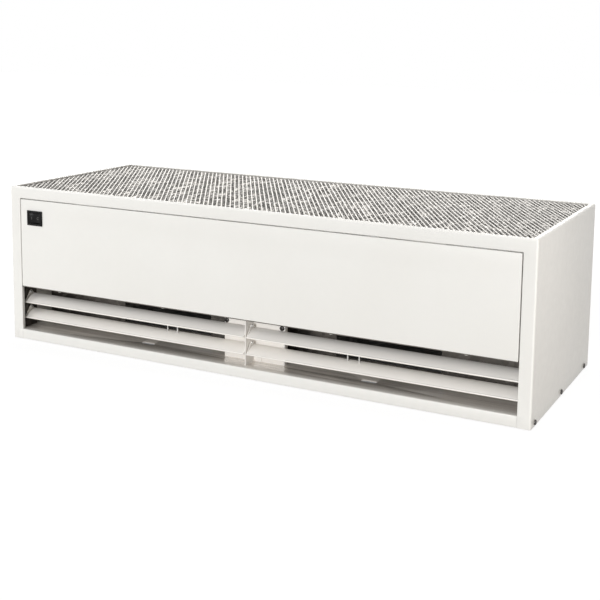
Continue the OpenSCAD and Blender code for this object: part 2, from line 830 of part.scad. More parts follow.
module motor_can() {
    color([0.25, 0.26, 0.28]) difference() {
        rod_x([-can_x, can_x], shaft_p, can_r);
        rod_x([-can_x - 1, can_x + 1], shaft_p, can_r - can_t);
    }
}

// An end bell: dished plate, hub for the mount ring, seat for the bearing.
module end_bell() {
    x1 = can_x + bell_t;
    color(galvanised) difference() {
        translate([0, y_shaft, shaft_z]) rotate([0, 90, 0]) rotate_extrude() polygon([
            [0, can_x - 4], [can_r - can_t - slip, can_x - 4], [can_r - can_t - slip, can_x], [can_r, can_x],
            [can_r - 8, x1 - 3], [hub_r, x1], [hub_r, x1 + hub_l], [0, x1 + hub_l]
        ]);
        translate([0, y_shaft, shaft_z]) rotate([0, 90, 0]) rotate_extrude() polygon([
            [0, can_x - 5], [can_r - can_t - 5, can_x - 5], [can_r - can_t - 5, can_x], [can_r - 14, x1 - 6],
            [hub_r - 4, x1 - 3], [0, x1 - 3]
        ]);
        rod_x([can_x, x1 + hub_l + 1], shaft_p, bearing_r);
        for (k = [0:5]) translate([0, y_shaft, shaft_z]) rotate([k * 60, 0, 0])
            translate([can_x, 40, 0]) rotate([0, 90, 0]) cylinder(r = 5, h = bell_t + 2);
    }
}

module right_end_bell() {
    end_bell();
}

module left_end_bell() {
    mirror([1, 0, 0]) end_bell();
}

module motor_stator() {
    color(steel) difference() {
        rod_x([-core_half, core_half], shaft_p, can_r - can_t - 0.05);
        rod_x([-core_half - 1, core_half + 1], shaft_p, rotor_r + 0.5);
    }
}

module motor_windings() {
    coil_l = can_x - core_half - 6.2;
    color([0.72, 0.40, 0.18]) for (side = [-1, 1]) difference() {
        rod_x(side > 0 ? [core_half + 0.1, core_half + coil_l] : [-core_half - coil_l, -core_half - 0.1],
            shaft_p, can_r - 8.5);
        rod_x([-can_x, can_x], shaft_p, rotor_r + 3);
    }
}

module motor_rotor_core() {
    color(steel) difference() {
        rod_x([-core_half, core_half], shaft_p, rotor_r);
        rod_x([-core_half - 1, core_half + 1], shaft_p, hub_bore);
    }
}

module motor_shaft() {
    color(steel) difference() {
        rod_x([-shaft_end, shaft_end], shaft_p, shaft_r);
        for (side = [-1, 1]) slab(
            side > 0 ? [blower_x - 16, shaft_end + 1] : [-shaft_end - 1, -blower_x + 16],
            [y_shaft - 10, y_shaft + 10], [shaft_z + shaft_r - 0.8, shaft_z + shaft_r + 1]);
    }
}

module shaft_bearings() {
    x1 = can_x + bell_t;
    color([0.70, 0.55, 0.30]) for (side = [-1, 1]) difference() {
        rod_x(side > 0 ? [x1 - 3, x1 + hub_l] : [-x1 - hub_l, -x1 + 3], shaft_p, bearing_r - 0.02);
        rod_x([-x1 - hub_l - 1, x1 + hub_l + 1], shaft_p, shaft_r + run_fit);
    }
}

module mount_rings() {
    color(dark) for (side = [-1, 1]) difference() {
        rod_x(side > 0 ? [ring_x, ring_x + ring_l] : [-ring_x - ring_l, -ring_x], shaft_p, saddle_r - 0.05);
        rod_x([-ring_x - ring_l - 1, ring_x + ring_l + 1], shaft_p, hub_r + 0.05);
    }
}

module motor_cradle() {
    x0 = ring_x + ring_l / 2 - cradle_t / 2;
    y = [y_shaft - base_half + 8, y_shaft + base_half - 8];
    color(galvanised) difference() {
        union() {
            slab([-x0 - cradle_t, x0 + cradle_t], [y_shaft - base_half, y_shaft + base_half],
                [floor_z, floor_z + cradle_t]);
            for (side = [-1, 1]) {
                slab(side > 0 ? [x0, x0 + cradle_t] : [-x0 - cradle_t, -x0], y, [floor_z, shaft_z - 4]);
                slab(side > 0 ? [x0, x0 + 12] : [-x0 - 12, -x0], y, [shaft_z - 4 - cradle_t, shaft_z - 4]);
            }
        }
        rod_x([-x0 - 20, x0 + 20], shaft_p, saddle_r);
        rod_x([-x0 + 1, x0 - 1], shaft_p, can_r + 4);
        for (p = cradle_bolts()) rod_z([floor_z - 1, floor_z + 2 * cradle_t], p, bolt_r + slip);
        for (p = clamp_bolts()) rod_z([shaft_z - 12, shaft_z], p, screw_hole);
    }
}

module cradle_clamps() {
    x0 = ring_x + ring_l / 2 - cradle_t / 2;
    color(galvanised) for (side = [-1, 1]) difference() {
        union() {
            rod_x(side > 0 ? [x0, x0 + 9] : [-x0 - 9, -x0], shaft_p, saddle_r + strap_t);
            slab(side > 0 ? [x0, x0 + 9] : [-x0 - 9, -x0],
                [y_shaft - base_half + 9, y_shaft + base_half - 9], [shaft_z - 4, shaft_z - 4 + strap_t]);
        }
        rod_x([-x0 - 20, x0 + 20], shaft_p, saddle_r);
        slab([-x0 - 20, x0 + 20], [y_shaft - 99, y_shaft + 99], [shaft_z - 60, shaft_z - 4]);
        for (p = clamp_bolts()) rod_z([shaft_z - 12, shaft_z], p, screw_hole);
    }
}

function cradle_bolts() = [for (sx = [-1, 1]) for (sy = [-1, 1]) [sx * 40, y_shaft + sy * (base_half - 10)]];
function clamp_bolts() = [
    for (sx = [-1, 1]) for (sy = [-1, 1]) [sx * (ring_x + ring_l / 2 + 4.5), y_shaft + sy * (saddle_r + 9)]
];

module motor_bolts() {
    color(steel) for (p = cradle_bolts()) translate([p[0], p[1], floor_z + cradle_t]) {
        cylinder(r = bolt_r * 1.9, h = bolt_r * 1.3, $fn = 6);
        translate([0, 0, -cradle_t - sheet - 4]) cylinder(r = bolt_r, h = cradle_t + sheet + 4 + tiny);
    }
    color(steel) for (p = clamp_bolts()) translate([p[0], p[1], shaft_z - 4 + strap_t]) {
        cylinder(r = head_r, h = head_h);
        translate([0, 0, -strap_t - cradle_t - 3]) cylinder(r = screw_r, h = strap_t + cradle_t + 3 + tiny);
    }
}

// ---- blowers ----

// The scroll's line: it opens steadily from the cut-off over the top and the rear to the bottom.
function scroll_line(grow) = [
    for (i = [0:scroll_steps])
        let (
            part = i / scroll_steps,
            angle = cut_angle - part * (cut_angle + 90),
            r = scroll_min + (scroll_max - scroll_min) * part + grow
        )
        [y_shaft + r * cos(angle), shaft_z + r * sin(angle)]
];

// The housing seen from its end, grown by a sheet where the wrapper is drawn.
module scroll_face(grow, mouth) {
    polygon(scroll_line(grow));
    rect([mouth, y_shaft], [outlet_low - grow, outlet_high + grow]);
}

module scroll() {
    x = housing_half - housing_t;
    outer = housing_half + outlet_flange;
    color(galvanised) translate([blower_x, 0, 0]) difference() {
        union() {
            along_x([-x, x]) difference() {
                scroll_face(housing_t, y_plenum);
                scroll_face(0, y_plenum - 1);
            }
            along_y([y_plenum, y_plenum + housing_t])
                rect([-outer, outer], [outlet_low - outlet_flange, outlet_high + outlet_flange]);
        }
        slab([-x, x], [y_plenum - 1, y_plenum + 2 * housing_t], [outlet_low, outlet_high]);
        for (e = [-1, 1]) for (z = flange_screws_z())
            rod_y([y_plenum - 1, y_plenum + 4], [e * (housing_half + outlet_flange / 2), z], screw_hole);
    }
}

// A side plate with its drawn inlet and its foot on the pan. It is drawn for the side away from the motor.
module side_plate() {
    x = housing_half - housing_t;
    y0 = y_plenum + housing_t;
    color(galvanised) translate([blower_x, 0, 0]) difference() {
        union() {
            along_x([x, x + housing_t]) {
                scroll_face(housing_t, y0);
                rect([y_shaft - 20, y_shaft + 40], [floor_z, outlet_low]);
            }
            rod_x([x - 5, x + tiny], shaft_p, inlet_r + housing_t);
            slab([x, x + housing_t + foot_w], [y_shaft - 20, y_shaft + 40], [floor_z, floor_z + housing_t]);
        }
        rod_x([x - 6, x + 3], shaft_p, inlet_r);
        for (y = [y_shaft - 10, y_shaft + 30])
            rod_z([floor_z - 1, floor_z + 2 * housing_t], [housing_half + foot_w / 2, y], screw_hole);
    }
}

// The plate on the motor's side is the same pressing, turned over.
module inner_side_plate() {
    translate([2 * blower_x, 0, 0]) mirror([1, 0, 0]) side_plate();
}

// Forward-curved blades between two end rings.
module blower_wheel() {
    root = wheel_r - blade_d;
    color(alu) translate([blower_x, y_shaft, shaft_z]) {
        along_x([-wheel_half, wheel_half]) for (k = [0:blade_count - 1]) rotate(k * 360 / blade_count)
            blade(root);
        for (end = [-1, 1]) along_x(end > 0 ? [wheel_half - 2, wheel_half] : [-wheel_half, -wheel_half + 2])
            difference() {
                circle(wheel_r, $fn = 96);
                circle(root, $fn = 96);
            }
    }
}

// One blade from the wheel's root circle to its rim, bowed forwards.
module blade(root) {
    a = root + 0.6;
    b = wheel_r - 0.6;
    bow = 5;
    steps = 5;
    line = [for (i = [0:steps]) let (t = i / steps) [a + (b - a) * t, bow * t * t]];
    polygon(concat(line, [for (i = [steps:-1:0]) line[i] - [0, blade_t]]));
}

// The hub and its disc, whose rim holds the middles of the blades.
module wheel_hub() {
    color(steel) translate([blower_x, 0, 0]) difference() {
        union() {
            rod_x([-wheel_hub_l / 2, wheel_hub_l / 2], shaft_p, wheel_hub_r);
            rod_x([-1, 1], shaft_p, wheel_r - blade_d + 0.5);
            translate([-6, y_shaft, shaft_z]) cylinder(r = 3, h = wheel_hub_r + 2, $fn = 6);
        }
        rod_x([-wheel_hub_l, wheel_hub_l], shaft_p, hub_bore);
    }
}

module right_scroll() {
    scroll();
}

module left_scroll() {
    mirror([1, 0, 0]) scroll();
}

module right_outer_side_plate() {
    side_plate();
}

module left_outer_side_plate() {
    mirror([1, 0, 0]) side_plate();
}

module right_inner_side_plate() {
    inner_side_plate();
}

module left_inner_side_plate() {
    mirror([1, 0, 0]) inner_side_plate();
}

module right_blower_wheel() {
    blower_wheel();
}

module left_blower_wheel() {
    mirror([1, 0, 0]) blower_wheel();
}

module right_wheel_hub() {
    wheel_hub();
}

module left_wheel_hub() {
    mirror([1, 0, 0]) wheel_hub();
}

// ---- electrical ----

module capacitor() {
    color([0.78, 0.79, 0.80]) {
        rod_x([-cap_l / 2, cap_l / 2], [cap_y, cap_z], cap_r);
        for (y = [cap_y - 6, cap_y + 6])
            slab([cap_l / 2 - tiny, cap_l / 2 + tab_l], [y - 0.4, y + 0.4], [cap_z - 3, cap_z + 3]);
    }
}

module capacitor_strap() {
    r = cap_r + 0.1;
    color(galvanised) difference() {
        union() {
            rod_x([-9, 9], [cap_y, cap_z], r + strap_t);
            slab([-9, 9], [cap_y - cap_r - 14, cap_y + cap_r + 12 - slip - 2 * sheet],
                [floor_z, floor_z + strap_t]);
            slab([-9, 9], [cap_y - r - strap_t, cap_y + r + strap_t], [floor_z, cap_z]);
        }
        rod_x([-10, 10], [cap_y, cap_z], r);
        slab([-10, 10], [cap_y - r, cap_y + r], [floor_z - 1, cap_z]);
        for (side = [-1, 1]) rod_z([floor_z - 1, floor_z + 4], [0, cap_y + side * (cap_r + 8)], screw_hole);
    }
}

module terminal_box() {
    t = housing_t;
    color(galvanised) difference() {
        slab([box_x, box_x + box_d], [box_y, box_y + box_l], [box_z, box_z + box_h]);
        slab([box_x + t, box_x + box_d + 1], [box_y + t, box_y + box_l - t], [box_z + t, box_z + box_h - t]);
        rod_y([box_y - 1, box_y + 2 * t], [box_x + box_d / 2, supply_lead_z], 8);
        rod_y([box_y + box_l - 2 * t, box_y + box_l + 1], [box_x + box_d / 2, motor_lead_z], 6);
    }
}

module terminal_box_cover() {
    x = box_x + box_d;
    t = housing_t;
    color(galvanised) {
        slab([x, x + t], [box_y - t, box_y + box_l + t], [box_z - t - slip, box_z + box_h + t + slip]);
        for (z = [box_z - t - slip, box_z + box_h + slip])
            slab([x - 8, x + t], [box_y, box_y + box_l], [z, z + t]);
    }
}

module terminal_block() {
    color([0.90, 0.88, 0.80]) difference() {
        slab([box_x + housing_t, box_x + 16], [box_y + 20, box_y + 70], [box_z + 12, box_z + 28]);
        for (k = [0:4]) slab([box_x + 11, box_x + 17], [box_y + 22 + k * 9.6, box_y + 29 + k * 9.6],
            [box_z + 14, box_z + 26]);
    }
}

module supply_grommet() {
    y0 = y_rear - 2 * sheet;
    p = [-half_w + supply_x, inlet_z];
    color(dark) difference() {
        union() {
            rod_y([y0 - 2.5, y0], p, knockout_r + 2.5);
            rod_y([y0 - tiny, y_rear - sheet + tiny], p, knockout_r - 0.05);
            rod_y([y_rear - sheet, y_rear - sheet + 2.5], p, knockout_r + 2.5);
        }
        rod_y([y0 - 3, y_rear + 3], p, supply_r);
    }
}

// A point above the motor can's skin, at an angle over the rear horizontal.
function can_point(x, angle, over) =
    [x, y_shaft + (can_r + over) * cos(angle), shaft_z + (can_r + over) * sin(angle)];

module switch_wires() {
    y = y_front + switch_d + tab_l + slip;
    bx = box_x + box_d / 2;
    color([0.15, 0.15, 0.17]) for (k = [-1, 0, 1]) lead([
        [switch_cx + k * 7, y, switch_z], [switch_cx + k * 7, y + 6, switch_z],
        [switch_cx + k * 5 - 8, y + 14, switch_z + k * 4], [bx, box_y - 5, supply_lead_z + k * 4.5],
        [bx, box_y + 6, supply_lead_z + k * 4.5]
    ], lead_r, [0.21, 0.17, 0.96]);
}

module motor_wires() {
    bx = box_x + box_d / 2;
    y = y_inner_rear - 10;
    color([0.15, 0.15, 0.17]) {
        for (k = [0, 1]) lead([
            [bx, box_y + box_l - 6, motor_lead_z - 2 + k * 4.5],
            [bx, box_y + box_l + 12, motor_lead_z - 2 + k * 4.5],
            [bx, (box_y + box_l + y) / 2 - 9, motor_lead_z + k * 4.5],
            [bx, y - 40, motor_lead_z + 4 + k * 4.5],
            [bx + 30, y, motor_lead_z + 4 + k * 4.5], [bx + 100, y, motor_lead_z + 4 + k * 4.5],
            [-blower_x, y, motor_lead_z + 4 + k * 4.5], [-70, y, shaft_z + 70 + k * 4.5],
            [-23 - k * 5, y - 24, shaft_z + 72 + k * 6],
            can_point(-15 - k * 6, 45, 14), can_point(-15 - k * 6, 45, 2 * slip)
        ], lead_r, [0.21, 0.17, 0.96]);
        for (k = [-1, 1]) lead([
            [cap_l / 2 + tab_l + slip, cap_y + k * 6, cap_z], [cap_l / 2 + 18, cap_y + k * 6, cap_z],
            [cap_l / 2 + 16 + k * 2, cap_y + k * 2, cap_z + 40],
            can_point(28 + k * 3, 30, 14), can_point(28 + k * 3, 30, 2 * slip)
        ], lead_r, [0.6, 0.8, 0.1]);
    }
}

// ---- screws ----

module case_screws() {
    color(dark) {
        for (side = [-1, 1]) for (y = case_screw_y) translate([side * half_w, y, case_screw_z])
            rotate([0, side * 90, 0]) screw(2 * sheet + slip + 2);
        for (side = [-1, 1]) for (z = rear_screw_z) translate([side * rear_screw_x, y_rear, z])
            rotate([-90, 0, 0]) screw(2 * sheet + 2);
        for (x = case_screw_x()) translate([x, y_rear - sheet, case_screw_z])
            rotate([-90, 0, 0]) screw(2 * sheet + slip + 2);
    }
}

module baffle_screws() {
    color(dark) for (side = [-1, 1]) translate([side * baffle_screw_x, y_baffle, baffle_screw_z])
        rotate([90, 0, 0]) screw(vane_t + 4);
}

module inner_screws() {
    color(steel) {
        for (x = panel_screw_x) translate([x, panel_screw_y, nozzle_top - sheet])
            rotate([180, 0, 0]) screw(2 * sheet + 3);
        for (side = [-1, 1]) for (x = flange_screws_x(side)) for (z = flange_screws_z())
            translate([x, y_plenum - sheet, z]) rotate([90, 0, 0]) screw(sheet + housing_t + 3);
        for (p = floor_screws()) translate([p[0], p[1], floor_z + sheet]) screw(2 * sheet + 3);
    }
}

left_end_panel();
right_end_panel();
rear_panel();
front_header();
wall_pan();
pan_channel();
access_panel();
nozzle_shroud();
centre_baffle();
vane_divider();
left_vane_bracket();
right_vane_bracket();
front_filter_rail();
rear_filter_rail();
case_screws();
baffle_screws();
inner_screws();
vane_pivots();
left_upper_vane();
left_lower_vane();
right_upper_vane();
right_lower_vane();
left_vane_link();
right_vane_link();
switch_housing();
switch_rocker();
switch_terminals();
filter_frame();
filter_mesh();
filter_pad();
motor_can();
left_end_bell();
right_end_bell();
motor_stator();
motor_windings();
motor_rotor_core();
motor_shaft();
shaft_bearings();
mount_rings();
motor_cradle();
cradle_clamps();
motor_bolts();
left_scroll();
left_inner_side_plate();
left_outer_side_plate();
left_blower_wheel();
left_wheel_hub();
right_scroll();
right_inner_side_plate();
right_outer_side_plate();
right_blower_wheel();
right_wheel_hub();
capacitor();
capacitor_strap();
terminal_box();
terminal_box_cover();
terminal_block();
supply_grommet();
switch_wires();
motor_wires();
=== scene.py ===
import bpy
import json
import math
from mathutils import Matrix, Vector


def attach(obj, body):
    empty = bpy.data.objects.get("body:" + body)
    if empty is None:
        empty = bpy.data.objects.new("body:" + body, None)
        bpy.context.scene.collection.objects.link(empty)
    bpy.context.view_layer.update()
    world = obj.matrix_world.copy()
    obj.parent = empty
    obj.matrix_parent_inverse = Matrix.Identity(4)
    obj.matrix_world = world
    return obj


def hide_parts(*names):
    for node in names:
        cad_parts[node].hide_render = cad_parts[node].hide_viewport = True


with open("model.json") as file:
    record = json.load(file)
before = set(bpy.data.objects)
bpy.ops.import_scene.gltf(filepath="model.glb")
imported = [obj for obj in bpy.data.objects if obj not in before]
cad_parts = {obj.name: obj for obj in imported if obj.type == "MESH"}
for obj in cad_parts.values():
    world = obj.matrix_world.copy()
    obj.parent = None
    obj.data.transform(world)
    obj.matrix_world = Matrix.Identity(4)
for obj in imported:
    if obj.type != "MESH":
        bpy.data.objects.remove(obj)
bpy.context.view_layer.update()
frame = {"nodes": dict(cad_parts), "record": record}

# The air curtain lies on its wall face. Lengths are in metres.
near = 1e-5  # a point this close to a place counts as being there
square = 0.9  # a face looks along an axis when its normal has more than this share of it
alongX = (0, math.radians(90), 0)  # turns a cylinder or a ring from Z to X

# focal, centreRow and side are in pixels of the photograph
camera = {"place": (0.8341, -1.5965, 0.5495), "yaw": 0.4760, "pitch": 0.1431, "roll": 0.0119,
          "focal": 1102.29, "centreRow": 180, "side": 600, "film": 36, "reach": 50}


def placeCamera():
    lens = bpy.data.cameras.new("photoLens")
    lens.sensor_width = camera["film"]
    lens.lens = camera["focal"] * camera["film"] / camera["side"]
    lens.shift_y = (camera["centreRow"] - camera["side"] / 2) / camera["side"]
    lens.clip_end = camera["reach"]
    eye = bpy.data.objects.new("photoCamera", lens)
    bpy.context.collection.objects.link(eye)
    yaw, pitch, roll = camera["yaw"], camera["pitch"], camera["roll"]
    ahead = Vector((-math.sin(yaw) * math.cos(pitch), math.cos(yaw) * math.cos(pitch), -math.sin(pitch)))
    right = Vector((math.cos(yaw), math.sin(yaw), 0))
    right = right * math.cos(roll) + right.cross(ahead) * math.sin(roll)
    turn = Matrix((right, right.cross(ahead), -ahead)).transposed()
    eye.matrix_world = Matrix.Translation(camera["place"]) @ turn.to_4x4()
    bpy.context.scene.camera = eye


placeCamera()
bpy.context.scene.view_settings.view_transform = "Standard"
print("camera placed")


class Wire:  # a shader socket that can be used in an expression
    def __init__(self, finish, socket):
        self.finish = finish
        self.socket = socket

    def maths(self, operation, first, second):
        return self.finish.node("ShaderNodeMath", {"operation": operation}, {0: first, 1: second})

    def __add__(self, other):
        return self.maths("ADD", self, other)

    def __radd__(self, other):
        return self.maths("ADD", other, self)

    def __sub__(self, other):
        return self.maths("SUBTRACT", self, other)

    def __rsub__(self, other):
        return self.maths("SUBTRACT", other, self)

    def __mul__(self, other):
        return self.maths("MULTIPLY", self, other)

    def __rmul__(self, other):
        return self.maths("MULTIPLY", other, self)

    def over(self, edge):
        return self.maths("GREATER_THAN", self, edge)

    def most(self, other):
        return self.maths("MAXIMUM", self, other)

    def ramp(self, low, high, fromLow=0.0, fromHigh=1.0):
        return self.finish.node("ShaderNodeMapRange", {"clamp": True},
                                {0: self, 1: fromLow, 2: fromHigh, 3: low, 4: high})


class Finish:
    def __init__(self, name, **fixed):
        self.material = bpy.data.materials.new(name)
        self.material.use_nodes = True
        self.nodes = self.material.node_tree.nodes
        self.links = self.material.node_tree.links
        self.shader = self.nodes["Principled BSDF"]
        for socket, value in fixed.items():
            self.shader.inputs[socket.replace("_", " ")].default_value = value
        self.place = self.node("ShaderNodeTexCoord", {}, {}, "Object")

    def node(self, kind, settings, sockets, output=0):
        made = self.nodes.new(kind)
        for key, value in settings.items():
            setattr(made, key, value)
        for key, value in sockets.items():
            if isinstance(value, Wire):
                self.links.new(value.socket, made.inputs[key])
            else:
                made.inputs[key].default_value = value
        return Wire(self, made.outputs[output])

    def stretched(self, scale):
        return self.node("ShaderNodeMapping", {}, {"Vector": self.place, "Scale": scale})

    def axis(self, number):
        return self.node("ShaderNodeSeparateXYZ", {}, {0: self.place}, number)

    def noise(self, scale, detail=2, roughness=0.5, where=None):
        return self.node("ShaderNodeTexNoise", {}, {"Vector": where or self.place, "Scale": scale,
                                                    "Detail": detail, "Roughness": roughness})

    def blend(self, amount, first, second):
        return self.node("ShaderNodeMix", {"data_type": "RGBA"}, {"Factor": amount, 6: first, 7: second}, 2)

    def feed(self, **wires):
        for socket, wire in wires.items():
            self.links.new(wire.socket, self.shader.inputs[socket.replace("_", " ")])

    def bumps(self, height, strength, distance):
        self.feed(Normal=self.node("ShaderNodeBump", {}, {"Height": height, "Strength": strength,
                                                          "Distance": distance}))


def shade(red, green, blue):
    return (red, green, blue, 1.0)


def grey(tone):
    return shade(tone, tone, tone)


studio = {
    "ambient": (0.19, 0.186, 0.180),
    "floorSize": 14, "floorDrop": 0.0012,
    "seenTint": 0.16, "bounce": (0.58, 0.56, 0.53),  # the paper to the eye, and to light that it throws back
    "nearGlow": 0.89, "fade": (0.7, 1.5),  # its glow beside the cabinet, and where that turns white
    "under": (0.450, 0.165), "paintedShadowGlow": 0.22,  # half length and half depth of the painted shadow below the cabinet, and the paper's glow there
    "sun": {"from": (0.08, -0.95, 0.25), "power": 1.74, "spread": 14, "colour": (0.985, 0.992, 1.0)},
    "lamps": [
        {"name": "keyLamp", "place": (-1.90, -2.20, 1.55), "aim": (0.0, -0.1, 0.1), "size": (1.2, 1.2),
         "power": 20, "colour": (0.975, 0.99, 1.0)},
        {"name": "sideLamp", "place": (0.80, -0.20, 0.30), "aim": (0.45, -0.1, 0.13), "size": (0.2, 0.2),
         "power": 0.53, "colour": (1.0, 0.950, 0.90)},
        {"name": "topLamp", "place": (0.20, 0.30, 2.60), "aim": (0.0, 0.0, 0.2), "size": (1.8, 1.2),
         "power": 27, "colour": (1.0, 0.970, 0.930)},
        {"name": "rearLamp", "place": (-1.25, 2.5, 1.20), "aim": (0.0, 0.1, 0.13), "size": (2.8, 1.0),
         "power": 29, "colour": (1.0, 0.985, 0.965)},
    ],
}


def seenDirectly(finish):
    def ray(kind):
        return finish.node("ShaderNodeLightPath", {}, {}, kind)
    return ray("Is Camera Ray").most(ray("Is Glossy Ray")).most(ray("Is Transmission Ray"))


def layFloor():
    bpy.ops.object.select_all(action="DESELECT")
    bpy.ops.mesh.primitive_plane_add(size=studio["floorSize"], location=(0, 0, -studio["floorDrop"]))
    floor = bpy.context.active_object
    floor.name = "studioFloor"
    bpy.ops.object.transform_apply(location=True, rotation=True, scale=True)
    paper = Finish("studioPaper", Roughness=0.9, Specular_IOR_Level=0.0, Emission_Strength=1.0)
    seen = seenDirectly(paper)
    away = paper.node("ShaderNodeVectorMath", {"operation": "LENGTH"}, {0: paper.place}, 1)
    openFloor = paper.blend(away.ramp(0, 1, *studio["fade"]), grey(studio["nearGlow"]), grey(1))
    across, along = paper.axis(0), paper.axis(1)
    halfLength, halfDepth = studio["under"]
    # painted shadow: the paper's glow is darkened in a box below the cabinet
    outside = (across * across).over(halfLength ** 2).most((along * along).over(halfDepth ** 2))
    glow = paper.blend(outside, grey(studio["paintedShadowGlow"]), openFloor)
    paper.feed(Base_Color=paper.blend(seen, shade(*studio["bounce"]), grey(studio["seenTint"])),
               Emission_Color=paper.blend(seen, grey(0), glow))
    floor.data.materials.append(paper.material)


def lightRoom():
    world = bpy.data.worlds.new("studioWorld")
    bpy.context.scene.world = world
    world.use_nodes = True
    tree = world.node_tree
    rays = tree.nodes.new("ShaderNodeLightPath")
    seen = rays.outputs["Is Camera Ray"]
    for kind in ("Is Glossy Ray", "Is Transmission Ray"):
        either = tree.nodes.new("ShaderNodeMath")
        either.operation = "MAXIMUM"
        tree.links.new(seen, either.inputs[0])
        tree.links.new(rays.outputs[kind], either.inputs[1])
        seen = either.outputs[0]
    tone = tree.nodes.new("ShaderNodeMix")
    tone.data_type = "RGBA"
    tone.inputs[6].default_value = shade(*studio["ambient"])
    tone.inputs[7].default_value = grey(1)
    tree.links.new(seen, tone.inputs["Factor"])
    tree.links.new(tone.outputs[2], tree.nodes["Background"].inputs["Color"])
    sun = bpy.data.lights.new("fillSun", "SUN")
    sun.energy = studio["sun"]["power"]
    sun.angle = math.radians(studio["sun"]["spread"])
    sun.color = studio["sun"]["colour"]
    hangLamp(sun, (0, 0, 0), -Vector(studio["sun"]["from"]))
    for lamp in studio["lamps"]:
        data = bpy.data.lights.new(lamp["name"], "AREA")
        data.shape = "RECTANGLE"
        data.size, data.size_y = lamp["size"]
        data.energy = lamp["power"]
        data.color = lamp["colour"]
        hangLamp(data, lamp["place"], Vector(lamp["aim"]) - Vector(lamp["place"]))


def hangLamp(data, place, toward):
    item = bpy.data.objects.new(data.name, data)
    bpy.context.collection.objects.link(item)
    item.location = place
    item.rotation_euler = toward.to_track_quat("-Z", "Y").to_euler()


layFloor()
lightRoom()
print("studio lit")

# painted highlight: the white coat is painted lighter where its normal faces the bend of the front right
# corner, standing in for the light that bend catches
cornerHighlight = {"toward": (0.71, -0.71, 0.0), "from": 0.80, "full": 0.98, "colour": (0.99, 0.98, 0.95)}


def powderCoat(name, colour, warm, gloss):
    coat = Finish(name, IOR=1.5, Coat_Roughness=0.18)
    cloud = coat.noise(7, 3)
    grain = coat.noise(520, 2)
    ripple = coat.noise(95, 2)
    skin = coat.node("ShaderNodeNewGeometry", {}, {}, "Normal")
    # painted highlight: the colour lightens where the normal turns toward the front right bend
    bend = coat.node("ShaderNodeVectorMath", {"operation": "DOT_PRODUCT"},
                     {0: skin, 1: cornerHighlight["toward"]}, 1)
    corner = bend.ramp(0, 1, cornerHighlight["from"], cornerHighlight["full"])
    plain = coat.blend(cloud.ramp(0, 1, 0.35, 0.65), shade(*colour), shade(*warm))
    coat.feed(Base_Color=coat.blend(corner, plain, shade(*cornerHighlight["colour"])),
              Roughness=grain.ramp(gloss - 0.04, gloss + 0.05, 0.3, 0.7),
              Coat_Weight=ripple.ramp(0.18, 0.32, 0.3, 0.7))
    coat.bumps(grain * 0.55 + ripple * 0.6, 0.22, 0.00012)
    return coat.material


def galvanised(name, dark, bright):
    zinc = Finish(name, Metallic=0.8, IOR=1.5)
    spangle = zinc.node("ShaderNodeTexVoronoi", {}, {"Vector": zinc.place, "Scale": 85.0}, "Color")
    tone = zinc.node("ShaderNodeSeparateColor", {}, {"Color": spangle}, 0)
    drawn = zinc.noise(1.0, 3, 0.6, zinc.stretched((14, 420, 420)))
    zinc.feed(Base_Color=zinc.blend(tone, shade(*dark), shade(*bright)),
              Roughness=tone * 0.16 + drawn * 0.14 + 0.24)
    zinc.bumps(drawn * 0.6 + tone * 0.4, 0.12, 0.0001)
    return zinc.material


def wornSteel(name, colour, low, high, along):
    steel = Finish(name, Metallic=1.0)
    drawn = steel.noise(1.0, 4, 0.6, steel.stretched(along))
    stain = steel.noise(160, 3)
    stained = shade(*[c * 0.8 for c in colour])
    steel.feed(Base_Color=steel.blend(stain.ramp(0, 1, 0.35, 0.7), shade(*colour), stained),
               Roughness=drawn.ramp(low, high, 0.3, 0.7))
    steel.bumps(drawn, 0.15, 0.00006)
    return steel.material


def crumpledFoil():  # near-black patches painted as shade in the hollows of the folded layers, and bright patches of the foil's own colour
    sheet = Finish("crumpledFoil", Metallic=1.0)
    patch = sheet.noise(1.0, 2, 0.6, sheet.stretched((120, 36, 120)))
    grain = sheet.noise(700, 2)
    # painted shade: the near-black colour stands in for the shade deep among the folded layers
    paintedShade, bright = shade(0.006, 0.0055, 0.005), shade(0.72, 0.70, 0.67)
    sheet.feed(Base_Color=sheet.blend(patch.ramp(0, 1, 0.50, 0.62), paintedShade, bright),
               Roughness=grain.ramp(0.40, 0.60, 0.3, 0.7))
    sheet.bumps(grain, 0.15, 0.00006)
    return sheet.material


def moulded(name, colour, low, high, grainScale, density=1.49):
    plastic = Finish(name, IOR=density)
    grain = plastic.noise(grainScale, 2)
    cloud = plastic.noise(45, 2)
    plastic.feed(Base_Color=plastic.blend(cloud, shade(*colour), shade(*[c * 0.82 for c in colour])),
                 Roughness=grain.ramp(low, high, 0.3, 0.7))
    plastic.bumps(grain, 0.18, 0.00005)
    return plastic.material


def enamel():
    paint = Finish("motorEnamel", IOR=1.5)
    runs = paint.noise(60, 3)
    dust = paint.noise(420, 4, 0.65)
    black, dusty = shade(0.022, 0.024, 0.027), shade(0.11, 0.105, 0.10)
    paint.feed(Base_Color=paint.blend(dust.ramp(0, 0.6, 0.5, 0.75), black, dusty),
               Roughness=dust.ramp(0.28, 0.5, 0.35, 0.7), Coat_Weight=runs.ramp(0.1, 0.4, 0.3, 0.7))
    paint.bumps(runs * 0.5 + dust * 0.3, 0.2, 0.0001)
    return paint.material


def laminations():
    core = Finish("laminatedCore", Metallic=0.85)
    sheets = core.node("ShaderNodeTexWave", {"wave_type": "BANDS", "bands_direction": "X"},
                       {"Vector": core.place, "Scale": 320.0, "Distortion": 0.3, "Detail": 1.0}, 1)
    rust = core.noise(90, 4)
    bare, rusty = shade(0.28, 0.28, 0.29), shade(0.16, 0.10, 0.07)
    core.feed(Base_Color=core.blend(rust.ramp(0, 0.7, 0.5, 0.72), bare, rusty),
              Roughness=sheets.ramp(0.35, 0.6))
    core.bumps(sheets, 0.4, 0.0001)
    return core.material


motorAxis = (0, 0.035, 0.134)  # the turns of the windings run round this line


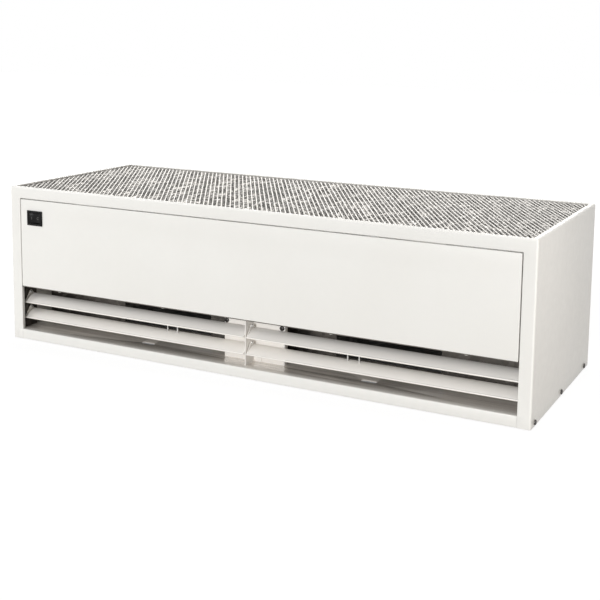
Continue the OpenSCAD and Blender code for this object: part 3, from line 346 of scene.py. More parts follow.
def copperCoils():
    coil = Finish("copperCoils", Metallic=0.55, IOR=1.5, Coat_Roughness=0.12)
    centred = coil.node("ShaderNodeVectorMath", {"operation": "SUBTRACT"}, {0: coil.place, 1: motorAxis})
    turns = coil.node("ShaderNodeTexWave", {"wave_type": "RINGS", "rings_direction": "X"},
                      {"Vector": centred, "Scale": 130.0, "Distortion": 2.5, "Detail": 2.0,
                       "Detail Scale": 2.0}, 1)
    varnish = coil.noise(80, 3)
    coil.feed(Base_Color=coil.blend(turns, shade(0.16, 0.055, 0.02), shade(0.50, 0.20, 0.075)),
              Roughness=varnish.ramp(0.25, 0.45, 0.3, 0.7), Coat_Weight=varnish.ramp(0.4, 0.9, 0.3, 0.7))
    coil.bumps(turns, 0.6, 0.0004)
    return coil.material


# white on the lip; on the floor a glossier grey that is partly painted shade of the vanes and the nozzle,
# with streaks along X, and a painted band of light just behind the lip
panPaint = {"lipBack": -0.1687, "floorFrom": 0.0158, "dark": (0.60, 0.55, 0.50), "light": (0.80, 0.75, 0.69),
            "band": (-0.1670, -0.1535), "paintedLightColour": (0.97, 0.94, 0.90),
            "white": (0.870, 0.862, 0.832), "warm": (0.855, 0.845, 0.812)}


def panCoat():
    coat = Finish("panCoat", IOR=1.5, Coat_Roughness=0.10)
    depth, height = coat.axis(1), coat.axis(2)
    inside = depth.over(panPaint["lipBack"]) * height.over(panPaint["floorFrom"])
    grain = coat.noise(520, 2)
    streaks = coat.noise(1.0, 3, 0.6, coat.stretched((5, 160, 160)))
    cloud = coat.noise(9, 3)
    # painted shade: the floor's grey, darker and lighter in streaks along X
    paintedShade = coat.blend(streaks.ramp(0, 1, 0.35, 0.68), shade(*panPaint["dark"]), shade(*panPaint["light"]))
    # painted light: a lighter band across the floor just behind the lip, where light reaches past the vanes
    paintedShade = coat.blend(depth.ramp(1, 0, *panPaint["band"]), paintedShade, shade(*panPaint["paintedLightColour"]))
    white = coat.blend(cloud.ramp(0, 1, 0.35, 0.65), shade(*panPaint["white"]), shade(*panPaint["warm"]))
    coat.feed(Base_Color=coat.blend(inside, white, paintedShade),
              Roughness=grain.ramp(0.36, 0.45, 0.3, 0.7) - inside * 0.17,
              Coat_Weight=inside * 0.7 + 0.2)
    coat.bumps(grain * 0.5 + streaks * 0.3, 0.2, 0.0001)
    return coat.material


finishes = {
    "pan_coat": panCoat(),
    "white_coat": powderCoat("whitePowderCoat", (0.870, 0.862, 0.832), (0.855, 0.845, 0.812), 0.40),
    # partly painted light: the vanes' cream tone is their own, but the coat is made lighter than the white
    # coat to stand in for light lost in the nozzle's shade
    "vane_coat": powderCoat("vanePowderCoatPaintedLight", (0.950, 0.918, 0.872), (0.930, 0.898, 0.852), 0.36),
    "galvanised": galvanised("galvanisedSheet", (0.30, 0.29, 0.275), (0.46, 0.45, 0.43)),
    # painted shade: a near-black copy of the galvanised sheet, for parts that lie in the nozzle's deep shade
    "shade_painted_zinc": galvanised("shadePaintedZinc", (0.085, 0.077, 0.069), (0.150, 0.138, 0.125)),
    "zinc_screw": wornSteel("zincScrews", (0.55, 0.54, 0.50), 0.22, 0.42, (300, 300, 300)),
    "dark_screw": wornSteel("darkScrews", (0.075, 0.070, 0.068), 0.22, 0.40, (260, 260, 260)),
    "rivet": wornSteel("aluminiumRivets", (0.82, 0.82, 0.81), 0.25, 0.40, (240, 240, 240)),
    "wire": wornSteel("springWire", (0.66, 0.65, 0.63), 0.18, 0.34, (300, 300, 60)),
    "switch_black": moulded("switchMoulding", (0.005, 0.005, 0.005), 0.22, 0.34, 900, 1.26),
    "mark_ink": moulded("printedMarks", (0.17, 0.168, 0.162), 0.45, 0.60, 900, 1.26),
    "brass_tab": wornSteel("tinnedTabs", (0.70, 0.58, 0.34), 0.25, 0.45, (260, 260, 60)),
    "filter_alu": wornSteel("expandedAluminium", (0.50, 0.485, 0.46), 0.42, 0.58, (160, 160, 160)),
    "filter_pad": crumpledFoil(),
    "motor_paint": enamel(),
    "core_steel": laminations(),
    "copper": copperCoils(),
    "shaft_steel": wornSteel("groundShaft", (0.55, 0.55, 0.56), 0.14, 0.30, (30, 500, 500)),
    "bronze": wornSteel("sinteredBronze", (0.44, 0.29, 0.12), 0.35, 0.55, (420, 420, 420)),
    "rubber": moulded("mountRubber", (0.018, 0.018, 0.018), 0.62, 0.80, 600),
    "wheel_alu": wornSteel("wheelAluminium", (0.66, 0.67, 0.68), 0.26, 0.42, (40, 300, 300)),
    "cap_can": wornSteel("capacitorCan", (0.70, 0.71, 0.72), 0.20, 0.36, (30, 260, 260)),
    "nylon": moulded("blockNylon", (0.74, 0.70, 0.58), 0.40, 0.55, 700),
    "lead": moulded("leadSleeve", (0.022, 0.022, 0.025), 0.38, 0.52, 800),
}

# painted shade: the shroud and the vane brackets get the darkened zinc in place of their slot's finish
shadePaintedParts = ("nozzle_shroud", "left_vane_bracket", "right_vane_bracket")
for part in frame["record"]["subparts"]:
    shown = frame["nodes"][part["node"]]
    coatName = "shade_painted_zinc" if part["node"] in shadePaintedParts else part["material_slot"]
    shown.data.materials.clear()
    shown.data.materials.append(finishes[coatName])
print("finishes on the frame's parts")


def letGo():
    if bpy.context.mode != "OBJECT":
        bpy.ops.object.mode_set(mode="OBJECT")
    bpy.ops.object.select_all(action="DESELECT")


def takeUp(piece):
    letGo()
    piece.select_set(True)
    bpy.context.view_layer.objects.active = piece


def settle():  # puts a new primitive's place into its mesh
    bpy.ops.object.transform_apply(location=True, rotation=True, scale=True)
    return bpy.context.active_object


def block(name, low, high):
    letGo()
    low, high = Vector(low), Vector(high)
    bpy.ops.mesh.primitive_cube_add(size=1, location=(low + high) / 2)
    piece = bpy.context.active_object
    piece.name = name
    piece.scale = high - low
    return settle()


def cylinder(vertices, radius, length, place, turn=(0, 0, 0)):
    letGo()
    bpy.ops.mesh.primitive_cylinder_add(vertices=vertices, radius=radius, depth=length, location=place,
                                        rotation=turn)
    return settle()


def ring(radius, wire, place, turn, steps, wireSteps):
    letGo()
    bpy.ops.mesh.primitive_torus_add(location=place, rotation=turn, major_segments=steps,
                                     minor_segments=wireSteps, major_radius=radius, minor_radius=wire)
    return settle()


def pick(piece, kind, test):  # selects by place, and stays in edit mode
    takeUp(piece)
    bpy.ops.object.mode_set(mode="EDIT")
    bpy.ops.mesh.select_mode(type={"faces": "FACE", "edges": "EDGE", "points": "VERT"}[kind])
    bpy.ops.mesh.select_all(action="DESELECT")
    bpy.ops.object.mode_set(mode="OBJECT")
    mesh = piece.data
    if kind == "faces":
        for face in mesh.polygons:
            face.select = test(face.center, face.normal)
    elif kind == "edges":
        for edge in mesh.edges:
            edge.select = test(*[mesh.vertices[i].co for i in edge.vertices])
    else:
        for point in mesh.vertices:
            point.select = test(point.co)
    bpy.ops.object.mode_set(mode="EDIT")


def cut(piece, place, normal, drop=False):  # drop takes away the side that the normal points to
    pick(piece, "faces", lambda centre, facing: True)
    bpy.ops.mesh.select_all(action="SELECT")
    bpy.ops.mesh.bisect(plane_co=place, plane_no=normal, clear_outer=drop)
    bpy.ops.object.mode_set(mode="OBJECT")


def trim(sheet, half):  # cuts a flat piece to size on all four sides
    for axis in (0, 1):
        for side in (-1, 1):
            normal = [0, 0, 0]
            normal[axis] = side
            cut(sheet, [n * half[axis] for n in normal], normal, drop=True)


def remove(piece, test):
    pick(piece, "faces", test)
    bpy.ops.mesh.delete(type="FACE")
    bpy.ops.object.mode_set(mode="OBJECT")


def shift(piece, test, move):
    pick(piece, "points", test)
    bpy.ops.transform.translate(value=move)
    bpy.ops.object.mode_set(mode="OBJECT")


def fold(piece, test, move):  # draws a new strip out of the picked edges
    pick(piece, "edges", test)
    bpy.ops.mesh.extrude_edges_move(TRANSFORM_OT_translate={"value": move})
    bpy.ops.object.mode_set(mode="OBJECT")


def roundEdges(piece, test, width, segments=3):
    pick(piece, "edges", test)
    bpy.ops.mesh.bevel(offset=width, segments=segments, profile=0.5)
    bpy.ops.object.mode_set(mode="OBJECT")


def modify(piece, kind, **settings):
    takeUp(piece)
    modifier = piece.modifiers.new(kind.lower(), kind)
    for key, value in settings.items():
        setattr(modifier, key, value)
    bpy.ops.object.modifier_apply(modifier=modifier.name)


def soften(piece, width, segments=2, angle=50):  # breaks the edges that are sharper than the angle
    modify(piece, "BEVEL", width=width, segments=segments, limit_method="ANGLE",
           angle_limit=math.radians(angle))


def thicken(piece, sheet):
    modify(piece, "SOLIDIFY", thickness=sheet, offset=-1, use_even_offset=True)


def punch(piece, cutter):
    modify(piece, "BOOLEAN", object=cutter, operation="DIFFERENCE", solver="EXACT")
    bpy.data.objects.remove(cutter)


def joinUp(pieces, name):
    takeUp(pieces[0])
    for piece in pieces:
        piece.select_set(True)
    bpy.ops.object.join()
    joined = bpy.context.active_object
    joined.name = name
    return joined


def copyTo(piece, turn):  # a copy with its own mesh, put in place by a matrix
    twin = piece.copy()
    twin.data = piece.data.copy()
    bpy.context.collection.objects.link(twin)
    twin.data.transform(turn)
    if turn.determinant() < 0:
        twin.data.flip_normals()
    return twin


def mount(piece, body, slotName, *stoodFor, smooth=38, coat=None):  # coat: a finish other than the slot's
    takeUp(piece)
    bpy.ops.object.shade_smooth_by_angle(angle=math.radians(smooth))
    piece.data.materials.clear()
    piece.data.materials.append(finishes[coat or slotName])
    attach(piece, body)
    if stoodFor:
        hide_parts(*stoodFor)


# both end panels and the front header: one wrap of sheet, open below, behind and on top
cabinet = {"halfWidth": 0.4572, "halfDepth": 0.170, "height": 0.266, "sheet": 0.0015, "bend": 0.003,
           "flange": 0.0200, "lip": 0.006, "lipFoot": 0.0172, "lipBend": 0.0012, "header": 0.246,
           "rimSide": 0.007, "rimEnd": 0.004, "soft": 0.00035}


def foldCabinet():
    width, depth, height = cabinet["halfWidth"], cabinet["halfDepth"], cabinet["height"]
    header, lipFoot = cabinet["header"], cabinet["lipFoot"]
    inner = width - cabinet["flange"]
    rimX, rimY = width - cabinet["rimSide"], depth - cabinet["rimEnd"]
    wrap = block("cabinetWrap", (-width, -depth, 0), (width, depth, height))
    roundEdges(wrap, lambda a, b: max(a.z, b.z) > near, cabinet["bend"], 4)
    remove(wrap, lambda p, facing: facing.z < -square)
    for side in (-1, 1):
        cut(wrap, (side * inner, 0, 0), (1, 0, 0))
        cut(wrap, (side * rimX, 0, 0), (1, 0, 0))
        cut(wrap, (0, side * rimY, 0), (0, 1, 0))
    cut(wrap, (0, 0, header), (0, 0, 1))
    cut(wrap, (0, 0, lipFoot), (0, 0, 1))
    remove(wrap, lambda p, facing: facing.y < -square and abs(p.x) < inner and p.z < header)
    remove(wrap, lambda p, facing: facing.z > square and abs(p.x) < rimX and abs(p.y) < rimY)
    remove(wrap, lambda p, facing: abs(p.x) < inner and p.y > rimY)

    def onFrontEdge(p):
        across = abs(p.x) < inner + near and lipFoot - near < p.z < header + near
        return p.y < near - depth and across

    def frontEdge(a, b):
        upright = abs(abs(a.x) - inner) < near and abs(abs(b.x) - inner) < near
        level = abs(a.z - header) < near and abs(b.z - header) < near
        return onFrontEdge(a) and onFrontEdge(b) and (upright or level)

    fold(wrap, frontEdge, (0, cabinet["lip"], 0))
    roundEdges(wrap, frontEdge, cabinet["lipBend"])
    thicken(wrap, cabinet["sheet"])
    soften(wrap, cabinet["soft"])
    mount(wrap, "cabinet", "white_coat", "left_end_panel", "right_end_panel", "front_header")


foldCabinet()
print("cabinet folded")

pan = {"halfWidth": 0.4555, "frontHalf": 0.4370, "front": -0.170, "sideFront": -0.1668, "rear": 0.1668,
       "floor": 0.017, "foot": 0.015, "clear": 0.0005, "sheet": 0.0015, "lipBend": 0.0014, "soft": 0.0003,
       "slotX": 0.200, "slotRows": (-0.134, 0.120), "slotLength": 0.026, "slotWidth": 0.009,
       "punchDepth": 0.008}


def foldPan():
    half, front, rear, floor = pan["halfWidth"], pan["front"], pan["rear"], pan["floor"]
    letGo()
    bpy.ops.mesh.primitive_plane_add(size=1, location=(0, (front + rear) / 2, floor))
    tray = bpy.context.active_object
    tray.name = "wallPan"
    tray.scale = (2 * half, rear - front, 1)
    settle()
    for side in (-1, 1):
        cut(tray, (side * pan["frontHalf"], 0, 0), (1, 0, 0))
    cut(tray, (0, pan["sideFront"], 0), (0, 1, 0))
    remove(tray, lambda p, facing: abs(p.x) > pan["frontHalf"] and p.y < pan["sideFront"])
    down = (0, 0, pan["clear"] - floor)
    fold(tray, lambda a, b: max(a.y, b.y) < front + near, (0, 0, -floor))
    fold(tray, lambda a, b: max(a.z, b.z) < near, (0, pan["foot"], 0))
    for side in (-1, 1):
        fold(tray, lambda a, b: min(a.x * side, b.x * side) > half - near, down)
    fold(tray, lambda a, b: min(a.y, b.y) > rear - near and min(a.z, b.z) > floor - near, down)
    roundEdges(tray, lambda a, b: max(a.y, b.y) < front + near and abs(a.z - b.z) < near, pan["lipBend"])
    thicken(tray, pan["sheet"])
    for x in (-pan["slotX"], pan["slotX"]):
        for y in pan["slotRows"]:
            punch(tray, slotCutter((x, y, floor)))
    soften(tray, pan["soft"])
    mount(tray, "cabinet", "white_coat", "wall_pan", coat="pan_coat")


def slotCutter(centre):
    length, width = pan["slotLength"], pan["slotWidth"]
    ends = [cylinder(32, width / 2, pan["punchDepth"], (centre[0] + side * (length - width) / 2, *centre[1:]))
            for side in (-1, 1)]
    cutter = joinUp(ends, "slotCutter")
    bpy.ops.object.mode_set(mode="EDIT")
    bpy.ops.mesh.select_all(action="SELECT")
    bpy.ops.mesh.convex_hull()
    bpy.ops.object.mode_set(mode="OBJECT")
    return cutter


panel = {"halfWidth": 0.4357, "low": 0.0935, "high": 0.2445, "front": -0.170, "back": -0.1565,
         "sheet": 0.0015, "corner": 0.0011, "soft": 0.0003, "hooks": (-0.300, 0.300), "hookHalf": 0.025,
         "hookY": (-0.1638, -0.1623), "hookZ": (0.2432, 0.2490)}
switch = {"centre": (-0.4047, 0.2142), "width": 0.0315, "height": 0.0255, "front": -0.1722, "back": -0.170,
          "rim": 0.0036, "corner": 0.0008, "soft": 0.0005, "cutOut": (0.002, 0.0015),
          "bodyInset": (0.0022, 0.0017), "bodyY": (-0.1695, -0.146), "bodySoft": 0.0006,
          "throughRim": (-0.175, -0.168), "intoBody": (-0.172, -0.1565)}
rocker = {"halfWidth": 0.0105, "halfHeight": 0.0083, "front": -0.0066, "back": -0.001, "pivotY": -0.166,
          "tilt": 8, "soft": 0.0007, "keelHalf": 0.003, "keelInset": 0.001, "keelY": (-0.0012, 0.004),
          "valley": {-0.0075: 0.0010, -0.004: 0.0019, 0.0: 0.0024, 0.004: 0.0019, 0.0075: 0.0010}}
marks = {"barX": (-0.00615, -0.00555), "barY": (-0.00600, -0.00515), "barHalf": 0.0023, "barSoft": 0.0002,
         "ringPlace": (0.0059, -0.00525, 0), "ringRadius": 0.0019, "ringWire": 0.00036}


def foldPanel():
    half, front = panel["halfWidth"], panel["front"]
    door = block("accessPanel", (-half, front, panel["low"]), (half, panel["back"], panel["high"]))
    remove(door, lambda p, facing: facing.y > square)
    roundEdges(door, lambda a, b: min(a.y, b.y) < front + near, panel["corner"], 4)
    x, z = switch["centre"]
    cutX, cutZ = switch["width"] / 2 - switch["cutOut"][0], switch["height"] / 2 - switch["cutOut"][1]
    for side in (-1, 1):
        cut(door, (x + side * cutX, 0, 0), (1, 0, 0))
        cut(door, (0, 0, z + side * cutZ), (0, 0, 1))
    remove(door, lambda p, facing: facing.y < -square and abs(p.x - x) < cutX and abs(p.z - z) < cutZ)
    thicken(door, panel["sheet"])
    soften(door, panel["soft"])
    (y0, y1), (z0, z1) = panel["hookY"], panel["hookZ"]
    hooks = [block("panelHook", (at - panel["hookHalf"], y0, z0), (at + panel["hookHalf"], y1, z1))
             for at in panel["hooks"]]
    mount(joinUp([door, *hooks], "accessPanel"), "cabinet", "white_coat", "access_panel")


def dressSwitch():
    x, z = switch["centre"]
    halfX, halfZ = switch["width"] / 2, switch["height"] / 2
    wellX, wellZ = halfX - switch["rim"], halfZ - switch["rim"]

    def slab(name, reachX, reachZ, depth):
        return block(name, (x - reachX, depth[0], z - reachZ), (x + reachX, depth[1], z + reachZ))

    bezel = slab("switchBezel", halfX, halfZ, (switch["front"], switch["back"]))
    roundEdges(bezel, lambda a, b: abs(a.y - b.y) > near, switch["corner"], 4)
    soften(bezel, switch["soft"], segments=3, angle=40)
    punch(bezel, slab("wellCutter", wellX, wellZ, switch["throughRim"]))
    insetX, insetZ = switch["bodyInset"]
    body = slab("switchBody", halfX - insetX, halfZ - insetZ, switch["bodyY"])
    soften(body, switch["bodySoft"])
    punch(body, slab("wellCutter", wellX, wellZ, switch["intoBody"]))
    mount(joinUp([bezel, body], "switchBezel"), "cabinet", "switch_black", "switch_housing")
    cap = shapeRocker()
    tilt = Matrix.Rotation(math.radians(rocker["tilt"]), 4, "Z")
    turn = Matrix.Translation((x, rocker["pivotY"], z)) @ tilt
    cap.data.transform(turn)
    mount(cap, "rocker", "switch_black", "switch_rocker")
    for mark in (markOn(), markOff()):
        mark.data.transform(turn)
        mount(mark, "rocker", "nylon", coat="mark_ink")


def shapeRocker():  # two dished wings that meet in a shallow valley
    halfX, halfZ = rocker["halfWidth"], rocker["halfHeight"]
    cap = block("rockerCap", (-halfX, rocker["front"], -halfZ), (halfX, rocker["back"], halfZ))
    for x in rocker["valley"]:
        cut(cap, (x, 0, 0), (1, 0, 0))
    for x, depth in rocker["valley"].items():
        shift(cap, lambda p: abs(p.x - x) < near and p.y < rocker["front"] + near, (0, depth, 0))
    soften(cap, rocker["soft"], segments=3, angle=45)
    keelX, keelZ = rocker["keelHalf"], halfZ - rocker["keelInset"]
    y0, y1 = rocker["keelY"]
    return joinUp([cap, block("rockerKeel", (-keelX, y0, -keelZ), (keelX, y1, keelZ))], "rockerCap")


def markOn():
    (x0, x1), (y0, y1), half = marks["barX"], marks["barY"], marks["barHalf"]
    bar = block("markOn", (x0, y0, -half), (x1, y1, half))
    soften(bar, marks["barSoft"])
    return bar


def markOff():
    circle = ring(marks["ringRadius"], marks["ringWire"], marks["ringPlace"], (math.radians(90), 0, 0), 32, 8)
    circle.name = "markOff"
    return circle


baffle = {"halfWidth": 0.0545, "front": -0.130, "low": 0.017, "top": 0.092, "sheet": 0.0012, "returns": 0.010,
          "bend": 0.0012, "soft": 0.00025}
divider = {"front": -0.158, "back": -0.130, "low": 0.017, "top": 0.092, "sheet": 0.0015, "bend": 0.0006,
           "footReach": 0.014, "footHeight": 0.016, "footSoft": 0.0004}


def foldBaffle():
    half, front, top = baffle["halfWidth"], baffle["front"], baffle["top"]
    plate = block("centreBaffle", (-half, front, baffle["low"]), (half, front + baffle["returns"], top))
    remove(plate, lambda p, facing: facing.y > square or facing.z < -square)

    def bend(a, b):
        upright, atTop = abs(a.z - b.z) > near, min(a.z, b.z) > top - near
        return max(a.y, b.y) < front + near and (upright or atTop)

    roundEdges(plate, bend, baffle["bend"])
    thicken(plate, baffle["sheet"])
    soften(plate, baffle["soft"])
    # painted light: the baffle wears the lighter vane coat in place of its white coat
    mount(plate, "cabinet", "white_coat", "centre_baffle", coat="vane_coat")


def foldDivider():
    sheet, low, back = divider["sheet"], divider["low"], divider["back"]
    fin = block("vaneDivider", (-sheet / 2, divider["front"], low), (sheet / 2, back, divider["top"]))
    foot = block("dividerFoot", (sheet / 2, back - sheet, low),
                 (divider["footReach"], back, low + divider["footHeight"]))
    roundEdges(fin, lambda a, b: max(a.y, b.y) < divider["front"] + near and abs(a.z - b.z) > near,
               divider["bend"])
    soften(foot, divider["footSoft"])
    # painted light: the divider wears the lighter vane coat in place of its white coat
    mount(joinUp([fin, foot], "vaneDivider"), "cabinet", "white_coat", "vane_divider", coat="vane_coat")


foldPan()
foldPanel()
dressSwitch()
foldBaffle()
foldDivider()
print("pan, panel, switch, baffle and divider made")

# fore, aft and the lug's pin are measured in Y and Z from the vane's own pivot line
vane = {"pivotY": -0.1426, "upperZ": 0.0774, "lowerZ": 0.0503, "start": 0.0023, "end": 0.4422,
        "fore": (-0.0154, -0.0152), "aft": (0.0086, -0.0044), "camber": 0.0024, "sheet": 0.0012, "steps": 16,
        "hem": 0.0015, "ear": 0.0034, "earSteps": 18, "soft": 0.0003, "hemSoft": 0.0004, "earSoft": 0.00025}
lug = {"x": {"left": 0.147, "right": 0.177}, "half": 0.0035, "pin": (0.0026, -0.0155), "tab": 0.0028,
       "roots": (-0.0075, -0.0050), "shoulder": 0.001, "tip": 0.0026, "soft": 0.0005}


def bladeArc():  # centre, radius and sweep of the blade's arc, about the pivot line
    (y0, z0), (y1, z1), camber = vane["fore"], vane["aft"], vane["camber"]
    chord = math.hypot(y1 - y0, z1 - z0)
    radius = chord ** 2 / (8 * camber) + camber / 2
    along = ((y1 - y0) / chord, (z1 - z0) / chord)
    drop = radius - camber
    centre = ((y0 + y1) / 2 + along[1] * drop, (z0 + z1) / 2 - along[0] * drop)
    return centre, radius, 2 * math.asin(chord / 2 / radius)


def flatPlate(name, outline, low, high):  # a plate square to X with the given outline in Y and Z
    letGo()
    bpy.ops.mesh.primitive_circle_add(vertices=len(outline), radius=0.01, fill_type="NGON")
    plate = bpy.context.active_object
    plate.name = name
    for point, (y, z) in zip(plate.data.vertices, outline):
        point.co = (low, y, z)
    pick(plate, "faces", lambda centre, facing: True)
    bpy.ops.mesh.extrude_region_move(TRANSFORM_OT_translate={"value": (high - low, 0, 0)})
    bpy.ops.mesh.select_all(action="SELECT")
    bpy.ops.mesh.normals_make_consistent(inside=False)
    bpy.ops.object.mode_set(mode="OBJECT")
    return plate


def earOutline():  # round about the rivet, and straight from there to both edges of the blade
    rim, steps = vane["ear"], vane["earSteps"]

    def touch(point, side):
        return math.atan2(point[1], point[0]) + side * math.acos(rim / math.hypot(*point))

    start, stop = touch(vane["aft"], 1), touch(vane["fore"], -1)
    while stop < start:
        stop += 2 * math.pi
    angles = [start + (stop - start) * k / steps for k in range(steps + 1)]
    return [vane["aft"], *[(rim * math.cos(a), rim * math.sin(a)) for a in angles], vane["fore"]]


def lugOutline():
    (y, z), tab, (rootFore, rootAft) = lug["pin"], lug["tab"], lug["roots"]
    shoulder, tip = z - lug["shoulder"], z - lug["tip"]
    return [(y - tab, rootFore), (y - tab, shoulder), (y - tab * 0.5, tip), (y + tab * 0.5, tip),
            (y + tab, shoulder), (y + tab, rootAft)]


def makeVane(side):
    (arcY, arcZ), radius, sweep = bladeArc()
    (y0, z0), half, start, end = vane["fore"], vane["sheet"] / 2, vane["start"], vane["end"]
    outward = ((y0 - arcY) / radius, (z0 - arcZ) / radius)
    letGo()
    bpy.ops.mesh.primitive_plane_add(size=1)
    blade = bpy.context.active_object
    corners = [(start, -half), (end, -half), (start, half), (end, half)]
    for point, (x, out) in zip(blade.data.vertices, corners):
        point.co = (x, y0 + outward[0] * out, z0 + outward[1] * out)
    pick(blade, "faces", lambda centre, facing: True)
    bpy.ops.mesh.spin(steps=vane["steps"], angle=sweep, center=(0, arcY, arcZ), axis=(1, 0, 0))
    bpy.ops.mesh.select_all(action="SELECT")
    bpy.ops.mesh.remove_doubles(threshold=near)
    bpy.ops.mesh.normals_make_consistent(inside=False)
    bpy.ops.object.mode_set(mode="OBJECT")
    soften(blade, vane["soft"])
    hem = cylinder(24, vane["hem"], end - start, ((start + end) / 2, y0, z0), alongX)
    soften(hem, vane["hemSoft"])
    ears = [flatPlate("vaneEar", earOutline(), x, x + vane["sheet"]) for x in (start, end - vane["sheet"])]
    for ear in ears:
        soften(ear, vane["earSoft"])
    at = lug["x"][side]
    tab = flatPlate("vaneLug", lugOutline(), at - lug["half"], at + lug["half"])
    soften(tab, lug["soft"], angle=30)
    return joinUp([blade, hem, *ears, tab], "dischargeVane")


def hangVanes():
    for side, sign in (("left", -1), ("right", 1)):
        pattern = makeVane(side)
        for level, height in (("Upper", "upperZ"), ("Lower", "lowerZ")):
            place = Matrix.Translation((0, vane["pivotY"], vane[height])) @ Matrix.Diagonal((sign, 1, 1, 1))
            twin = copyTo(pattern, place)
            twin.name = side + level + "Vane"
            body = f"{side}_{level.lower()}_vane"
            mount(twin, body, "vane_coat", body)
        bpy.data.objects.remove(pattern)


link = {"halfWidth": 0.0095, "y": -0.140, "top": 0.0619, "low": 0.0348, "wire": 0.00125, "bend": 0.0022,
        "bendSteps": 5, "eye": 0.0030, "eyeWire": 0.95}


def bendLink(side):  # a closed loop of wire, with an eye below each of its lower corners
    x0, x1 = lug["x"][side] - link["halfWidth"], lug["x"][side] + link["halfWidth"]
    top, low, bend, steps = link["top"], link["low"], link["bend"], link["bendSteps"]

    def corner(middleX, middleZ, start):
        angles = [start + math.pi / 2 * i / steps for i in range(steps + 1)]
        return [(middleX + bend * math.cos(a), link["y"], middleZ + bend * math.sin(a)) for a in angles]

    loop = [*corner(x1 - bend, top - bend, 0), *corner(x0 + bend, top - bend, math.pi / 2),
            *corner(x0 + bend, low + bend, math.pi), *corner(x1 - bend, low + bend, 3 * math.pi / 2)]
    eyeWire, eyeZ = link["wire"] * link["eyeWire"], low - link["eye"]
    eyes = [ring(link["eye"], eyeWire, (x, link["y"], eyeZ), alongX, 28, 10) for x in (x0, x1)]
    return joinUp([wireCurve("linkWire", loop, link["wire"]), *eyes], "vaneLink")


def wireCurve(name, points, radius):
    letGo()
    line = bpy.data.curves.new(name, "CURVE")
    line.dimensions = "3D"
    line.bevel_depth = radius
    line.bevel_resolution = 3
    spline = line.splines.new("POLY")
    spline.points.add(len(points) - 1)
    for knot, place in zip(spline.points, points):
        knot.co = (*place, 1)
    spline.use_cyclic_u = True
    item = bpy.data.objects.new(name, line)
    bpy.context.collection.objects.link(item)
    takeUp(item)
    bpy.ops.object.convert(target="MESH")
    return bpy.context.active_object


def hangLinks():
    for side, sign in (("left", -1), ("right", 1)):
        pattern = bendLink(side)
        twin = copyTo(pattern, Matrix.Diagonal((sign, 1, 1, 1)))
        twin.name = side + "VaneLink"
        mount(twin, side + "_link", "wire", side + "_vane_link")
        bpy.data.objects.remove(pattern)


hangVanes()
hangLinks()
print("vanes and links hung")

# pitch is that of the diamond openings, in X and Y; broad is how much one pair of strands widens
filterFace = {"pitch": (0.0081, 0.0137), "strand": 0.0006, "broad": 0.10, "twist": 0.0001, "sheet": 0.0002,
              "half": (0.4484, 0.1642), "height": 0.2636, "backHeight": 0.2549}
foil = {"pitch": (0.0088, 0.0128), "strand": 0.0018, "broad": 0.0, "twist": 0.0006, "sheet": 0.00018,
        "half": (0.4482, 0.1640), "heights": (0.2608, 0.2575), "stagger": (0.0021, 0.0043),
        "crumple": 0.0046, "drift": 0.0035, "size": 0.0042, "growth": 0.3}


def expandedSheet(name, weave, height):  # one diamond opening, repeated in two staggered fields
    pitchX, pitchY = weave["pitch"]
    letGo()
    bpy.ops.mesh.primitive_circle_add(vertices=4, radius=0.5, fill_type="NGON")
    cell = bpy.context.active_object
    cell.scale = (pitchX, pitchY, 1)
    settle()
    pick(cell, "faces", lambda centre, facing: True)
    bpy.ops.mesh.inset(thickness=weave["strand"] / 2)
    bpy.ops.mesh.delete(type="FACE")
    bpy.ops.object.mode_set(mode="OBJECT")
    edgeX, edgeY = 0.499 * pitchX, 0.499 * pitchY  # the cell's own corners lie outside these
    inner = [p.co for p in cell.data.vertices if abs(p.co.x) < edgeX and abs(p.co.y) < edgeY]
    broadX, broadY = weave["broad"] * max(p.x for p in inner), weave["broad"] * max(p.y for p in inner)
    for side in (-1, 1):  # the opening narrows toward one pair of strands, which makes that pair broad
        shift(cell, lambda p: abs(p.y) < near < side * p.x < edgeX,
              (-side * broadX, -side * broadY, 0))
        shift(cell, lambda p: abs(p.x) < near < side * p.y < edgeY,
              (-side * broadX, -side * broadY, -side * weave["twist"]))
    countX, countY = [math.ceil(2 * half / pitch) + 1 for half, pitch in zip(weave["half"], weave["pitch"])]
    fields = []
    for stagger in (0, 0.5):
        start = ((stagger - (countX - 1) / 2) * pitchX, (stagger - (countY - 1) / 2) * pitchY, height)
        field = copyTo(cell, Matrix.Translation(start))
        for count, step in ((countX, (pitchX, 0, 0)), (countY, (0, pitchY, 0))):
            modify(field, "ARRAY", count=count, use_relative_offset=False, use_constant_offset=True,
                   constant_offset_displace=step)
        fields.append(field)
    bpy.data.objects.remove(cell)
    sheet = joinUp(fields, name)
    bpy.ops.object.mode_set(mode="EDIT")
    bpy.ops.mesh.select_all(action="SELECT")
    bpy.ops.mesh.remove_doubles(threshold=near)
    bpy.ops.object.mode_set(mode="OBJECT")
    trim(sheet, weave["half"])
    return sheet


def layFilter():
    top = expandedSheet("filterFace", filterFace, filterFace["height"])
    modify(top, "SOLIDIFY", thickness=filterFace["sheet"], offset=0)
    mount(top, "filter", "filter_alu", "filter_mesh", smooth=20)
    back = copyTo(top, Matrix.Translation((0, 0, filterFace["backHeight"] - filterFace["height"])))
    back.name = "filterBack"
    mount(back, "filter", "filter_pad", smooth=20)
    for number, height in enumerate(foil["heights"]):
        layer = expandedSheet(f"foilLayer{number + 1}", foil, height)
        layer.data.transform(Matrix.Translation((*[number * step for step in foil["stagger"]], 0)))
        crumple(layer, number)
        trim(layer, foil["half"])
        modify(layer, "SOLIDIFY", thickness=foil["sheet"], offset=0)
        stoodFor = ["filter_pad"] if number == 0 else []
        mount(layer, "filter", "filter_pad", *stoodFor, smooth=20)


